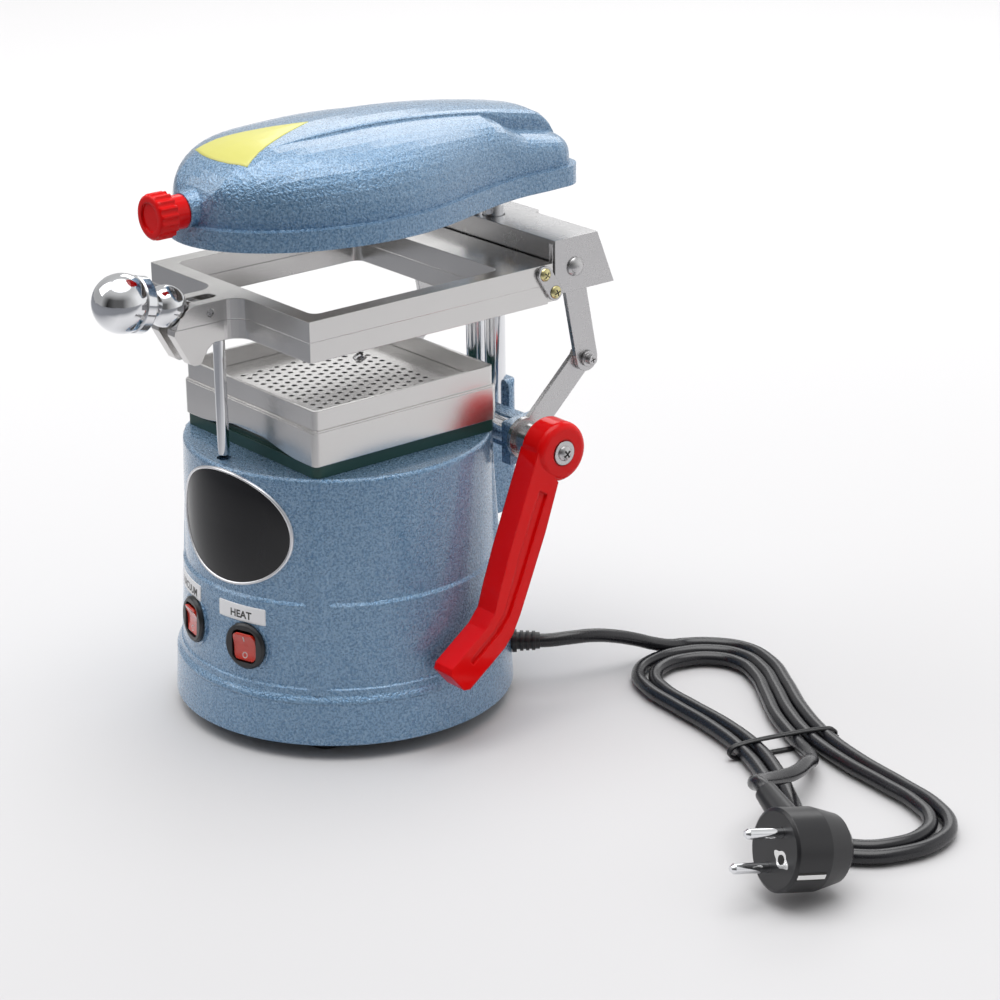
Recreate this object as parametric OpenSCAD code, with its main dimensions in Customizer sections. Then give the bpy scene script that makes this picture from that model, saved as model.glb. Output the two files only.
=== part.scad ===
// Dental vacuum former: a heater head swings over a clamp for a plastic sheet, and a lever lowers
// the clamp over a perforated tray on a vacuum housing.
// Millimetres. Z is up, the switches and the clamp's ball knob are at -Y, the lever is at +X.
// The origin is on the table, under the axis of the round housing.

/* [Housing] */
// Radius of the base ring at its foot
ring_r = 84.5; // [80:0.5:90]
// Height of the rubber feet under the housing
foot_h = 8; // [6:0.5:12]
// Height of the base ring above its foot
ring_h = 23.5; // [18:0.5:30]
// Width of the sloped ledge above the base ring
ledge_w = 3.4; // [2:0.2:5]
// Height of the sloped ledge above the base ring
ledge_h = 3.6; // [2:0.2:6]
// Radius of the housing at its deck
deck_r = 75.5; // [74:0.5:79]
// Height of the deck above the table
deck_z = 139.8; // [130:0.2:150]
// Wall of the cast housing
wall = 4; // [3:0.5:6]
// Height of the step that runs round the middle of the housing
band_z = 77; // [65:1:90]
// Depth of the step round the middle
band_step = 1.3; // [0.6:0.1:2.5]
// Width of the soft rib under each corner of the tray
rib_w = 25; // [16:1:32]
// How far each rib stands out of the wall
rib_out = 4.2; // [2:0.2:6]
// Thickness of the steel base plate
base_plate_t = 2; // [1:0.5:3]
// Radius of a rubber foot
foot_r = 11; // [8:0.5:14]
// Distance of the feet from the axis
foot_at = 62; // [50:1:68]

/* [Tray] */
// Distance of the middle of the tray behind the housing axis
tray_y = 1.8; // [0:0.1:3]
// Outer width of the tray skirt
tray_w = 109; // [104:0.5:111]
// Height of the tray skirt
skirt_h = 17.3; // [14:0.5:20]
// Height of the narrower upper rim of the tray
rim_h = 9.6; // [6:0.5:12]
// Inset of the upper rim from the skirt
rim_inset = 1.2; // [0.6:0.1:2]
// Sheet thickness of the tray
tray_t = 1.5; // [1:0.1:2.5]
// How far the skirt is arched up along its front and rear edges
skirt_arch = 5.5; // [2:0.5:8]
// Thickness of the rubber gasket under the tray
gasket_t = 6; // [3:0.2:7]
// Depth of the perforated plate below the rim
plate_drop = 8.5; // [6:0.5:12]
// Thickness of the perforated plate
plate_t = 1.5; // [1:0.1:2.5]
// Diameter of the holes in the perforated plate
hole_d = 2.6; // [2:0.1:3.2]
// Pitch of the holes
hole_pitch = 5.8; // [5:0.1:7]

/* [Clamp frames] */
// Outer width of both clamp frames
frame_w = 130; // [126:1:134]
// Front edge of the frames, ahead of the housing axis
frame_front = 61; // [58:0.5:66]
// Rear edge of the upper frame, behind the housing axis
frame_rear = 83; // [81:0.5:83]
// Width of the frame rails
rail_w = 8.5; // [7:0.5:9]
// Rear edge of the opening, behind the housing axis
opening_rear = 57; // [56:0.5:60]
// Thickness of the upper frame
upper_t = 10; // [8:0.5:11]
// Thickness of the lower frame
lower_t = 9.6; // [8:0.2:11]
// Height of the parting plane with the clamp raised
parting_z = 210.8; // [208:0.2:214]
// Corner radius of the opening
corner_r = 4.5; // [3:0.5:7]

/* [Latch] */
// Width of the front lugs that carry the latch
lug_w = 19; // [17:0.5:22]
// Front end of the upper lug, ahead of the housing axis
lug_front = 98; // [96:0.5:100]
// Distance of the latch pin ahead of the housing axis
latch_pin_y = 77; // [74:0.5:80]
// Height of the latch pin above the parting plane
latch_pin_up = 5; // [4.4:0.1:5.4]
// Diameter of the latch pin
latch_pin_d = 3.6; // [3:0.1:4]
// Width of the slot for the latch bolt
slot_w = 7.4; // [7:0.1:8]
// Diameter of the latch bolt
bolt_d = 6; // [5:0.1:6.5]
// Tilt of the latch bolt above level with the latch open
bolt_tilt = 14.5; // [12:0.5:20]
// Diameter of the big ball of the knob
ball_d = 28; // [24:0.5:30]
// Distance of the big ball from the latch pin
ball_at = 43; // [40:0.5:46]
// Diameter of the small ball behind it
hub_d = 20; // [17:0.5:20.5]
// Distance of the small ball from the latch pin
hub_at = 19; // [18.5:0.5:22]
// Diameter of the front guide rod
rod_d = 5.8; // [5:0.1:7]
// Distance of the guide rod ahead of the housing axis
rod_y = 67; // [65:0.5:68]

/* [Columns and carriage] */
// Diameter of both columns
column_d = 10.5; // [9:0.5:12]
// Half the distance between the columns
column_x = 7.5; // [6.5:0.5:9]
// Distance of the columns behind the housing axis
column_y = 93.2; // [91:0.2:96]
// Sheet thickness of the carriage
sheet_t = 2; // [1.5:0.1:2.5]
// Depth of the top of the carriage, front to rear
carriage_d = 26.8; // [24:0.2:30]
// Height of the top of the carriage above the parting plane
carriage_up = 20.7; // [17:0.1:23]
// Diameter of the link pins at the carriage and between the links
pin_d = 5; // [4:0.5:6]

/* [Lever and links] */
// Gap between the round end of the crank links and the edge of the deck
crank_gap = 10.4; // [8:0.2:14]
// Height of the lever shaft
shaft_z = 133.6; // [131:0.2:136]
// Diameter of the lever shaft
shaft_d = 12; // [10:0.5:13]
// Pin distance of both links
link_l = 50; // [49:0.5:52]
// Width of the links
link_w = 13; // [11:0.5:15]
// Thickness of the links
link_t = 2.5; // [2:0.1:3]
// Distance of the carriage pin behind the housing axis
carriage_pin_y = 97; // [95:0.5:99]
// Height of the carriage pin above the parting plane
carriage_pin_up = 5.8; // [5:0.1:7]
// Diameter of the lever hub
lever_hub_d = 30; // [26:1:34]
// Thickness of the lever hub along the shaft
lever_hub_t = 15; // [12:1:18]
// Width of the lever arm
arm_w = 20; // [16:1:24]
// Thickness of the lever arm
arm_t = 13; // [10:1:15]

/* [Heater head] */
// Height of the flange of the head above the table
head_z = 250.5; // [248:0.5:256]
// Half the greatest width of the head
head_hw = 59.3; // [55:0.5:62]
// Half the width of the neck at the rear
neck_hw = 39.5; // [34:0.5:44]
// Front end of the head, ahead of the housing axis
head_front = 89; // [86:1:94]
// Rear end of the head, behind the housing axis
head_rear = 121; // [116:1:126]
// Height of the straight flange band
flange_h = 9.6; // [7:0.2:12]
// Height of the dome above the flange band
dome_h = 36; // [30:1:42]
// Wall of the cast head
head_wall = 4; // [3:0.5:5]
// Radius of the fluted cap of the head knob
knob_r = 10.8; // [9:0.2:12]

/* [Switches] */
// Diameter of the bezel of a rocker switch
bezel_d = 23; // [21:0.5:25]
// Diameter of the switch body in the wall
switch_d = 19.8; // [18:0.1:20.5]
// Height of the heater switch
heat_z = 53; // [50:0.5:60]
// Height of the vacuum switch
vacuum_z = 54.5; // [50:0.5:60]

/* [Cord] */
// Diameter of the mains cord
cord_d = 7; // [6:0.2:8]

/* [Hidden] */
$fn = 64;
gap = 0.3;
play = 0.05;
touch = 0.02;

ring_top = foot_h + ring_h;
ledge_r = ring_r - 1.2;
shell_r = ledge_r - ledge_w;
shell_z = ring_top + ledge_h;
band_r = shell_r - (shell_r - deck_r) * (band_z - shell_z) / (deck_z - shell_z);
deck_edge = 2;

gasket_top = deck_z + gasket_t;
skirt_top = gasket_top + skirt_h;
rim_top = skirt_top + rim_h;
rim_w = tray_w - 2 * rim_inset;
tray_in = rim_w - 2 * tray_t;
plate_top = rim_top - plate_drop;
plate_w = tray_in - 2 * gap;
seat_w = 5;

frame_top = parting_z + upper_t;
frame_bottom = parting_z - lower_t;
opening_w = frame_w - 2 * rail_w;
opening_front = frame_front - rail_w;
lower_rear = frame_rear + 3;

carriage_front = frame_rear + 1.4;
carriage_top = parting_z + carriage_up;
side_out = frame_w / 2;
side_in = side_out - sheet_t;
side_foot = parting_z - 6.2;
tab_top = parting_z - 0.4;
tab_front = frame_rear - 3;
pin_z = parting_z + carriage_pin_up;

link_out = side_in - gap;
link_in = link_out - link_t;
crank_out = link_in - gap;
crank_in = crank_out - link_t;
ear_out = crank_in - gap;
ear_t = 6.6;
ear_in = ear_out - ear_t;
hub_in = crank_out + 13.2;
hub_out = hub_in + lever_hub_t;

crank_r = 10.5;
shaft_y = sqrt(deck_r * deck_r - crank_in * crank_in) + crank_r + crank_gap;
span_y = carriage_pin_y - shaft_y;
span_z = pin_z - shaft_z;
span = sqrt(span_y * span_y + span_z * span_z);
span_angle = atan2(span_z, span_y);
bulge = sqrt(link_l * link_l - span * span / 4);
knee_y = shaft_y + span / 2 * cos(span_angle) + bulge * sin(span_angle);
knee_z = shaft_z + span / 2 * sin(span_angle) - bulge * cos(span_angle);
open_pivot_d = pin_d + 3.8;
link_head_r = 8.5;

hinge_z = parting_z - 4;
hinge_y = frame_rear + 0.2;
latch_z = parting_z + latch_pin_up;
head_x = column_x;
head_mid = -5;
base_z = head_z + flange_h;

// Points of a circle's arc, from angle a to angle b
function arc(cx, cy, r, a, b, n = 12) =
    [for (i = [0:n]) [cx + r * cos(a + (b - a) * i / n), cy + r * sin(a + (b - a) * i / n)]];

module slab(w, d, h, r) {
    linear_extrude(h) rounded(w, d, r);
}

// A rectangle about the origin with round corners
module rounded(w, d, r) {
    polygon(concat(
        arc(w / 2 - r, d / 2 - r, r, 0, 90, 8),
        arc(-w / 2 + r, d / 2 - r, r, 90, 180, 8),
        arc(-w / 2 + r, -d / 2 + r, r, 180, 270, 8),
        arc(w / 2 - r, -d / 2 + r, r, 270, 360, 8)));
}

// A cylinder along X from x0 to x1
module rod_x(d, x0, x1, y, z) {
    translate([x0, y, z]) rotate([0, 90, 0]) cylinder(d = d, h = x1 - x0);
}

// A flat outline in Y and Z, given thickness along X
module plate_x(x0, x1, points) {
    translate([x0, 0, 0]) rotate([90, 0, 90]) linear_extrude(x1 - x0) polygon(points);
}

module both_sides() {
    children();
    mirror([1, 0, 0]) children();
}

// Housing

rib_lean = atan2(shell_r - deck_r + rib_out - 1.9, deck_z - ring_top);

module rib_outline() {
    steps = 16;
    polygon(concat([[-12, -rib_w / 2]],
        [for (i = [0:steps]) let (u = i / steps * 2 - 1)
            [rib_out * (0.5 + 0.5 * cos(180 * u)) - 3.2, u * rib_w / 2]],
        [[-12, rib_w / 2]]));
}

module ribs() {
    for (a = [45:90:315])
        rotate(a) translate([shell_r + 1.1, 0, ring_top + 1]) rotate([0, -rib_lean, 0])
            linear_extrude(deck_z - ring_top - 1.6) translate([0, 0]) rib_outline();
}

module shell_outer() {
    rotate_extrude($fn = 128) polygon(concat(
        [[0, foot_h], [ring_r, foot_h]],
        arc(ledge_r - 2.4, ring_top - 2.4, 2.4, 0, 75, 5),
        arc(shell_r + 1.6, shell_z + 1.6, 1.6, 250, 190, 4),
        [[shell_r, shell_z + 4], [band_r, band_z], [band_r - band_step, band_z + 1.5]],
        arc(deck_r - deck_edge, deck_z - deck_edge, deck_edge, 0, 90, 6),
        [[0, deck_z]]));
}

module shell_inner() {
    rotate_extrude($fn = 128) polygon([
        [0, foot_h - 1], [ring_r - 5, foot_h - 1], [ring_r - 5, foot_h + base_plate_t],
        [ring_r - 7, foot_h + base_plate_t], [shell_r - wall, shell_z],
        [band_r - wall - 1.5, band_z], [deck_r - wall - 1, deck_z - wall - 3],
        [deck_r - wall - 4, deck_z - wall], [0, deck_z - wall]]);
}

pedestal_w = 34;
pedestal_front = 68;
pedestal_rear = column_y + 7.8;
pedestal_top = deck_z + 6.5;
pedestal_foot = deck_z - 62;
pedestal_r = 4.5;
pedestal_side_r = 6;

// The block behind the deck that holds both columns
module pedestal() {
    intersection() {
        translate([0, pedestal_rear, 0]) rotate([90, 0, 0])
            linear_extrude(pedestal_rear - pedestal_front) polygon(concat(
                [[-pedestal_w / 2, pedestal_foot], [pedestal_w / 2, pedestal_foot]],
                arc(pedestal_w / 2 - pedestal_r, pedestal_top - pedestal_r, pedestal_r, 0, 90, 6),
                arc(-pedestal_w / 2 + pedestal_r, pedestal_top - pedestal_r, pedestal_r, 90, 180, 6)));
        translate([0, 0, pedestal_foot - 1])
            linear_extrude(pedestal_top - pedestal_foot + 2) polygon(concat(
                [[-pedestal_w, pedestal_front - 1], [pedestal_w, pedestal_front - 1]],
                [[pedestal_w, pedestal_rear - pedestal_side_r]],
                arc(pedestal_w / 2 - pedestal_side_r, pedestal_rear - pedestal_side_r, pedestal_side_r, 0, 90, 6),
                arc(-pedestal_w / 2 + pedestal_side_r, pedestal_rear - pedestal_side_r, pedestal_side_r,
                    90, 180, 6),
                [[-pedestal_w, pedestal_rear - pedestal_side_r]]));
        union() {
            translate([-pedestal_w, column_y + 1, pedestal_foot - 1])
                cube([2 * pedestal_w, 40, pedestal_top - pedestal_foot + 2]);
            translate([-pedestal_w, pedestal_front - 2, pedestal_foot - 1])
                cube([2 * pedestal_w, 60, deck_z - 13 - pedestal_foot + 1]);
        }
    }
}

ear_low = 13;
ear_high = 8;
ear_rear = 16;
module ears() {
    both_sides() {
        plate_x(ear_in, ear_out, [[shaft_y - ear_high, shaft_z - ear_low],
            [shaft_y + ear_rear, shaft_z - ear_low], [shaft_y + ear_rear, shaft_z + 4],
            [shaft_y + ear_rear - 5, shaft_z + ear_high + 1.5],
            [shaft_y - ear_high + 1, shaft_z + ear_high], [shaft_y - ear_high, shaft_z + ear_high - 1]]);
        translate([pedestal_w / 2 - 2, shaft_y + 7, shaft_z - ear_low])
            cube([ear_out - pedestal_w / 2 + 1, ear_rear - 7, ear_low + 4]);
    }
}

module shaft_tunnel() {
    rod_x(shaft_d + 8, -36, 36, shaft_y, shaft_z - 3);
}

heat_angle = 18;
vacuum_angle = -11.5;
wall_tilt = atan2(shell_r - deck_r, deck_z - shell_z);

// Moves its children to the front wall: X is along the wall, Y up the wall, Z out of it
module at_wall(angle, z, out = 0) {
    r = shell_r - (shell_r - deck_r) * (z - shell_z) / (deck_z - shell_z);
    rotate(angle) translate([0, -r, z]) rotate([90 - wall_tilt, 0, 0]) translate([0, 0, out]) children();
}

flat_d = bezel_d + 3;
module switch_seat(angle, z) {
    at_wall(angle, z, -wall - 1.5) cylinder(d = flat_d, h = wall + 1.6);
}

gland_angle = -39;
gland_z = 25;
gland_hole_d = 9;
module at_gland(out = 0) {
    rotate(gland_angle) translate([0, ring_r - 0.6, gland_z]) rotate([-90, 0, 0])
        translate([0, 0, out]) children();
}

suction_d = 22;
rod_hole_d = rod_d + 1.2;

module housing() {
    color("lightsteelblue") difference() {
        union() {
            difference() {
                union() {
                    shell_outer();
                    ribs();
                    pedestal();
                    ears();
                }
                shell_inner();
            }
            intersection() {
                shaft_tunnel();
                cylinder(r = deck_r - 1, h = deck_z - 1);
            }
            switch_seat(heat_angle, heat_z);
            switch_seat(vacuum_angle, vacuum_z);
            for (a = [45:90:315])
                rotate(a) translate([foot_at, 0, foot_h + base_plate_t + touch]) {
                    cylinder(r = 6, h = 26);
                    translate([0, -3, 0]) cube([shell_r - wall + 1 - foot_at, 6, 26]);
                }
        }
        rod_x(shaft_d + 2 * play, -70, 70, shaft_y, shaft_z);
        for (x = [-column_x, column_x])
            translate([x, column_y, pedestal_foot + 4])
                cylinder(d = column_d + 2 * play, h = pedestal_top - pedestal_foot);
        translate([0, -rod_y, deck_z - wall - 4]) cylinder(d = rod_hole_d, h = wall + 5);
        translate([0, 0, deck_z - wall - 1]) cylinder(d = suction_d, h = wall + 2);
        at_wall(heat_angle, heat_z, -12) cylinder(d = switch_d + 2 * play, h = 20);
        at_wall(vacuum_angle, vacuum_z, -12) cylinder(d = switch_d + 2 * play, h = 20);
        at_gland(-12) cylinder(d = gland_hole_d, h = 20);
        for (a = [45:90:315])
            rotate(a) translate([foot_at, 0, foot_h]) cylinder(d = 4 + 2 * play, h = 20);
    }
}

module base_plate() {
    color("dimgray") translate([0, 0, foot_h]) difference() {
        cylinder(r = ring_r - 5 - play, h = base_plate_t);
        for (a = [45:90:315])
            rotate(a) translate([foot_at, 0, -1]) cylinder(d = 4 + 2 * play, h = 10);
        for (a = [0:30:330])
            rotate(a) translate([28, 0, -1]) cylinder(d = 6, h = 10);
    }
}

module rubber_feet() {
    color("black") for (a = [45:90:315])
        rotate(a) translate([foot_at, 0, 0]) rotate_extrude($fn = 48) polygon([
            [2 + play, 2.5], [4, 2.5], [4, 0], [foot_r - 2, 0], [foot_r - 0.6, 0.8],
            [foot_r, foot_h], [2 + play, foot_h]]);
}

module foot_screws() {
    color("silver") for (a = [45:90:315])
        rotate(a) translate([foot_at, 0, 0]) rotate_extrude($fn = 32)
            polygon([[0, 0.6], [3.6, 0.6], [3.6, 2.4], [2, 2.5], [2, foot_h + 18], [0, foot_h + 18]]);
}

motor_r = 50;
motor_top = deck_z - wall - 3;
fan_z = motor_top - 44;
module vacuum_motor() {
    color("gray") translate([0, 0, 0]) rotate_extrude($fn = 96) polygon([
        [0, foot_h + base_plate_t + 8], [14, foot_h + base_plate_t + 8], [16, foot_h + base_plate_t + 14],
        [34, foot_h + base_plate_t + 16], [36, foot_h + 36], [36, fan_z - 6], [42, fan_z - 2],
        [motor_r, fan_z], [motor_r, fan_z + 14], [motor_r - 1.5, fan_z + 16],
        [motor_r - 1.5, motor_top - 18], [motor_r, motor_top - 16], [motor_r, motor_top - 1],
        [motor_r - 1, motor_top], [suction_d / 2 + 1, motor_top], [suction_d / 2 + 1, motor_top - 18],
        [0, motor_top - 18]]);
}

module motor_seal() {
    color("black") translate([0, 0, motor_top]) difference() {
        cylinder(r = motor_r - 6, h = deck_z - wall - motor_top, $fn = 96);
        translate([0, 0, -1]) cylinder(r = motor_r - 16, h = 10, $fn = 96);
    }
}

// Tray

module skirt_cut() {
    run = tray_w - 24;
    for (s = [-1, 1])
        translate([0, s * tray_w / 2 + 3, gasket_top]) rotate([90, 0, 0]) linear_extrude(6)
            polygon(concat([[-run / 2, -1]], [for (i = [0:20]) let (u = i / 20 * 2 - 1)
                [u * run / 2, skirt_arch * (0.5 + 0.5 * cos(180 * u))]], [[run / 2, -1]]));
}

module chamber_tray() {
    color("silver") translate([0, tray_y, 0]) difference() {
        union() {
            translate([0, 0, gasket_top]) slab(tray_w, tray_w, skirt_h - 0.8, 3);
            translate([0, 0, skirt_top - 0.8]) slab(tray_w - 0.8, tray_w - 0.8, 0.8, 2.6);
            translate([0, 0, skirt_top]) slab(rim_w, rim_w, rim_h, 2.4);
        }
        translate([0, 0, plate_top - plate_t]) slab(tray_in, tray_in, 40, 1.6);
        translate([0, 0, gasket_top + 4]) slab(tray_in - 2 * seat_w, tray_in - 2 * seat_w, 40, 1.6);
        translate([0, 0, gasket_top - 1]) slab(tray_w - 2 * tray_t - 1, tray_w - 2 * tray_t - 1, 3, 1.6);
        translate([0, -tray_y, gasket_top - 1]) cylinder(d = suction_d, h = 20);
        skirt_cut();
    }
}

module chamber_gasket() {
    color("darkslategray") translate([0, tray_y, deck_z]) difference() {
        slab(tray_w - 1, tray_w - 1, gasket_t, 4);
        translate([0, 0, -1]) slab(tray_w - 17, tray_w - 17, gasket_t + 2, 4);
    }
    color("darkslategray") translate([0, tray_y, gasket_top]) difference() {
        slab(tray_w - 2 * tray_t - 1.4, tray_w - 2 * tray_t - 1.4, 2 - touch, 1.4);
        translate([0, 0, -1]) slab(tray_w - 17, tray_w - 17, 4, 4);
    }
}

hole_rows = 14;
screw_at = [-19.6, 27];
module perforated_plate() {
    row_step = hole_pitch * 0.866;
    color("silver") translate([0, tray_y, plate_top - plate_t]) linear_extrude(plate_t) difference() {
        rounded(plate_w, plate_w, 1.4);
        for (j = [0:hole_rows - 1]) {
            columns = hole_rows - 1 - j % 2;
            for (i = [0:columns - 1])
                let (x = (i - (columns - 1) / 2) * hole_pitch, y = (j - (hole_rows - 1) / 2) * row_step)
                    if (norm([x, y] - screw_at) > 5) translate([x, y]) circle(d = hole_d);
        }
        translate(screw_at) circle(d = 3.2);
    }
}

module plate_screw() {
    color("silver") translate([screw_at[0], screw_at[1] + tray_y, plate_top]) {
        intersection() {
            translate([0, 0, -2]) sphere(r = 4.1);
            cylinder(d = 7, h = 5);
        }
        translate([0, 0, -5]) cylinder(d = 3, h = 5.2);
    }
}

// Switches: a round bezel in the wall and a rocker that tips about its middle

rocker_w = 13.4;
rocker_h = 15.4;
bezel_t = 2.2;
rock = 7;
trunnion_d = 2.4;
trunnion_half = rocker_w / 2 + 1.4;
trunnion_z = -1.4;

module switch_body(angle, z) {
    at_wall(angle, z) difference() {
        union() {
            translate([0, 0, 0.15]) rotate_extrude($fn = 64) polygon([[0, 0], [bezel_d / 2, 0],
                [bezel_d / 2, bezel_t - 1], [bezel_d / 2 - 1, bezel_t], [0, bezel_t]]);
            translate([0, 0, -11]) cylinder(d = switch_d, h = 11.5);
        }
        translate([0, 0, -4]) intersection() {
            linear_extrude(10) rounded(rocker_w + 0.8, rocker_h + 0.8, 4);
            cylinder(d = bezel_d - 4, h = 10);
        }
        rod_x(trunnion_d + 2 * play, -trunnion_half - 0.2, trunnion_half + 0.2, 0, trunnion_z);
    }
}

module rocker(angle, z) {
    at_wall(angle, z) translate([0, 0, trunnion_z]) rotate([rock, 0, 0]) translate([0, 0, -trunnion_z]) {
        intersection() {
            translate([-rocker_w / 2, 0, 0]) rotate([90, 0, 90]) linear_extrude(rocker_w) polygon(concat(
                [[-5, -2.6], [5, -2.6], [rocker_h / 2 - 0.3, 2]],
                arc(0, 20.5, 19.1, -70, -110, 10),
                [[-rocker_h / 2 + 0.3, 2]]));
            translate([0, 0, -5]) linear_extrude(12) rounded(rocker_w - 0.2, rocker_h - 0.6, 4);
        }
        rod_x(trunnion_d, -trunnion_half, trunnion_half, 0, trunnion_z);
    }
}

module heat_switch_body() {
    color("black") switch_body(heat_angle, heat_z);
}

module heat_rocker() {
    color("firebrick") rocker(heat_angle, heat_z);
}

module vacuum_switch_body() {
    color("black") switch_body(vacuum_angle, vacuum_z);
}

module vacuum_rocker() {
    color("firebrick") rocker(vacuum_angle, vacuum_z);
}

// Columns

module head_column() {
    color("gainsboro") translate([column_x, column_y, pedestal_foot + 4]) {
        cylinder(d = column_d, h = head_z + 14 - pedestal_foot - 4);
    }
}

module guide_column() {
    color("gainsboro") translate([-column_x, column_y, pedestal_foot + 4]) {
        cylinder(d = column_d, h = carriage_top + 6 - pedestal_foot - 4);
    }
}

// Lever and links

module lever_shaft() {
    color("gainsboro") rod_x(shaft_d, -crank_out - 1.5, hub_out - 4, shaft_y, shaft_z);
}

// A flat link from one pin to the other, with round ends
module link(x0, x1, from, to, from_r, to_r, from_hole, to_hole, to_shift = [0, 0]) {
    a = atan2(to[1] - from[1], to[0] - from[0]);
    l = norm(to - from);
    half = link_w / 2 - touch;
    translate([x0, 0, 0]) rotate([90, 0, 90]) linear_extrude(x1 - x0) difference() {
        union() {
            translate(from) rotate(a) translate([0, -half]) square([l, 2 * half]);
            translate(from) circle(r = from_r);
            translate(to) circle(r = to_r);
        }
        translate(from) circle(d = from_hole);
        translate(to + to_shift) circle(d = to_hole);
    }
}

shaft_at = [shaft_y, shaft_z];
knee_at = [knee_y, knee_z];
pin_at = [carriage_pin_y, pin_z];
open_pivot_shift = 1.6 * [knee_z - pin_z, pin_at[0] - knee_y] / link_l;

module crank_links() {
    color("gainsboro") both_sides()
        link(crank_in, crank_out, shaft_at, knee_at, crank_r, link_w / 2, shaft_d + 2 * play, pin_d + 2 * play);
}

module upper_links() {
    color("gainsboro") both_sides()
        link(link_in, link_out, knee_at, pin_at, link_w / 2, link_head_r, pin_d + 2 * play, open_pivot_d,
            open_pivot_shift);
}

module link_pins() {
    color("gainsboro") both_sides() {
        rod_x(pin_d, crank_in - 1.6, link_out + 4.6, knee_y, knee_z);
        rod_x(pin_d + 4, crank_in - 3, crank_in - gap, knee_y, knee_z);
        rod_x(pin_d + 3, link_out + gap, link_out + 1.6, knee_y, knee_z);
    }
}

module lever_spacer() {
    color("lightgray") translate([crank_out, shaft_y, shaft_z]) rotate([0, 90, 0]) difference() {
        cylinder(d = 17, h = hub_in - crank_out);
        translate([0, 0, -1]) cylinder(d = shaft_d + 2 * play, h = 30);
    }
}

// The arm runs down and forward, then bends further forward; it leans out to clear the base ring
arm_lean = 0.14;
arm_side = [[shaft_y - 14.5, shaft_z + 3], [47.6, 121.9], [31.7, 92.1], [23.5, 75.3], [19.4, 66],
    [13, 59.6], [-9.1, 46], [-10.4, 43.1], [-3.5, 34.3], [0.2, 33.8], [23.2, 47.9],
    [29.2, 53.5], [34.9, 61.9], [43.6, 77.2], [55.1, 97.6], [shaft_y - 4, shaft_z - 14]];
arm_panel = [[54.1, 118.1], [38.5, 91.5], [30.2, 74.4], [25.7, 65.4], [18.8, 58.2], [2.1, 47.4],
    [3.8, 44.9], [21.1, 55.7], [28.4, 62.6], [37.6, 78.1], [48.7, 98], [58.4, 115.3]];

function unit(v) = v / norm(v);

module loft(rings) {
    n = len(rings[0]);
    m = len(rings);
    polyhedron(
        points = [for (ring = rings) for (p = ring) p],
        faces = concat(
            [[for (i = [n - 1:-1:0]) i]],
            [for (j = [0:m - 2]) for (i = [0:n - 1]) let (k = (i + 1) % n)
                [j * n + i, (j + 1) * n + k, (j + 1) * n + i]],
            [for (j = [0:m - 2]) for (i = [0:n - 1]) let (k = (i + 1) % n)
                [j * n + i, j * n + k, (j + 1) * n + k]],
            [[for (i = [0:n - 1]) (m - 1) * n + i]]));
}

// A flat piece in Y and Z that leans outwards as it goes down
module leaning(x0, x1, points) {
    multmatrix([[1, 0, -arm_lean, arm_lean * shaft_z], [0, 1, 0, 0], [0, 0, 1, 0]])
        plate_x(x0, x1, points);
}

module lever_arm() {
    difference() {
        leaning(hub_in + 0.6, hub_in + 0.6 + arm_t, arm_side);
        leaning(hub_in + 0.6 + arm_t - 1.4, hub_in + 3 + arm_t, arm_panel);
    }
}

module lever_handle() {
    color("red") difference() {
        union() {
            translate([hub_in, shaft_y, shaft_z]) rotate([0, 90, 0]) rotate_extrude($fn = 64)
                polygon(concat([[0, 0]], arc(lever_hub_d / 2 - 2, 2, 2, -90, 0, 4),
                    arc(lever_hub_d / 2 - 4, lever_hub_t - 4, 4, 0, 90, 8), [[0, lever_hub_t]]));
            lever_arm();
        }
        rod_x(shaft_d + 2 * play, hub_in - 1, hub_out - 4 + play, shaft_y, shaft_z);
        rod_x(13, hub_out - 1, hub_out + 1, shaft_y, shaft_z);
        rod_x(5, hub_out - 5, hub_out, shaft_y, shaft_z);
    }
}

module lever_screw() {
    color("silver") {
        rod_x(12, hub_out - 1 + touch, hub_out + 0.6, shaft_y, shaft_z);
        translate([hub_out + 0.6, shaft_y, shaft_z]) intersection() {
            translate([-3, 0, 0]) sphere(r = 5.2);
            rotate([0, 90, 0]) cylinder(d = 7.4, h = 3);
        }
        rod_x(4, hub_out - 4 + 2 * play, hub_out, shaft_y, shaft_z);
    }
}

// Carriage

tongue_w = 36;
tongue_d = 4;
module carriage() {
    color("lightgray") difference() {
        union() {
            translate([0, carriage_front, carriage_top - sheet_t])
                translate([-side_out, 0, 0]) cube([frame_w, carriage_d, sheet_t]);
            translate([0, carriage_front + carriage_d + tongue_d / 2, carriage_top - sheet_t])
                translate([0, -4, 0]) slab(tongue_w, tongue_d + 8, sheet_t, 3);
            translate([-side_out + 4.5, carriage_front, parting_z])
                cube([frame_w - 9, sheet_t, carriage_up - 1]);
            both_sides() plate_x(side_in, side_out, [
                [carriage_front, carriage_top], [carriage_front + carriage_d, carriage_top],
                [carriage_front + carriage_d + 10.6, side_foot], [tab_front, side_foot],
                [tab_front, tab_top], [carriage_front, tab_top]]);
        }
        for (x = [-column_x, column_x])
            translate([x, column_y, 0]) cylinder(d = column_d + 1, h = 400);
        both_sides() rod_x(pin_d + 2 * play, side_in - 1, side_out + 1, carriage_pin_y, pin_z);
        both_sides() rod_x(4 + 2 * play, side_in - 1, side_out + 1, hinge_y, hinge_z);
    }
}

bush_h = 26;
module carriage_bushes() {
    color("darkgoldenrod") translate([0, column_y, carriage_top - sheet_t - bush_h]) difference() {
        slab(2 * column_x + column_d + 9, 2 * (column_y - carriage_front - sheet_t - touch), bush_h, 6);
        for (x = [-column_x, column_x]) translate([x, 0, -1]) cylinder(d = column_d + 2 * play, h = 80);
    }
}

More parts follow.
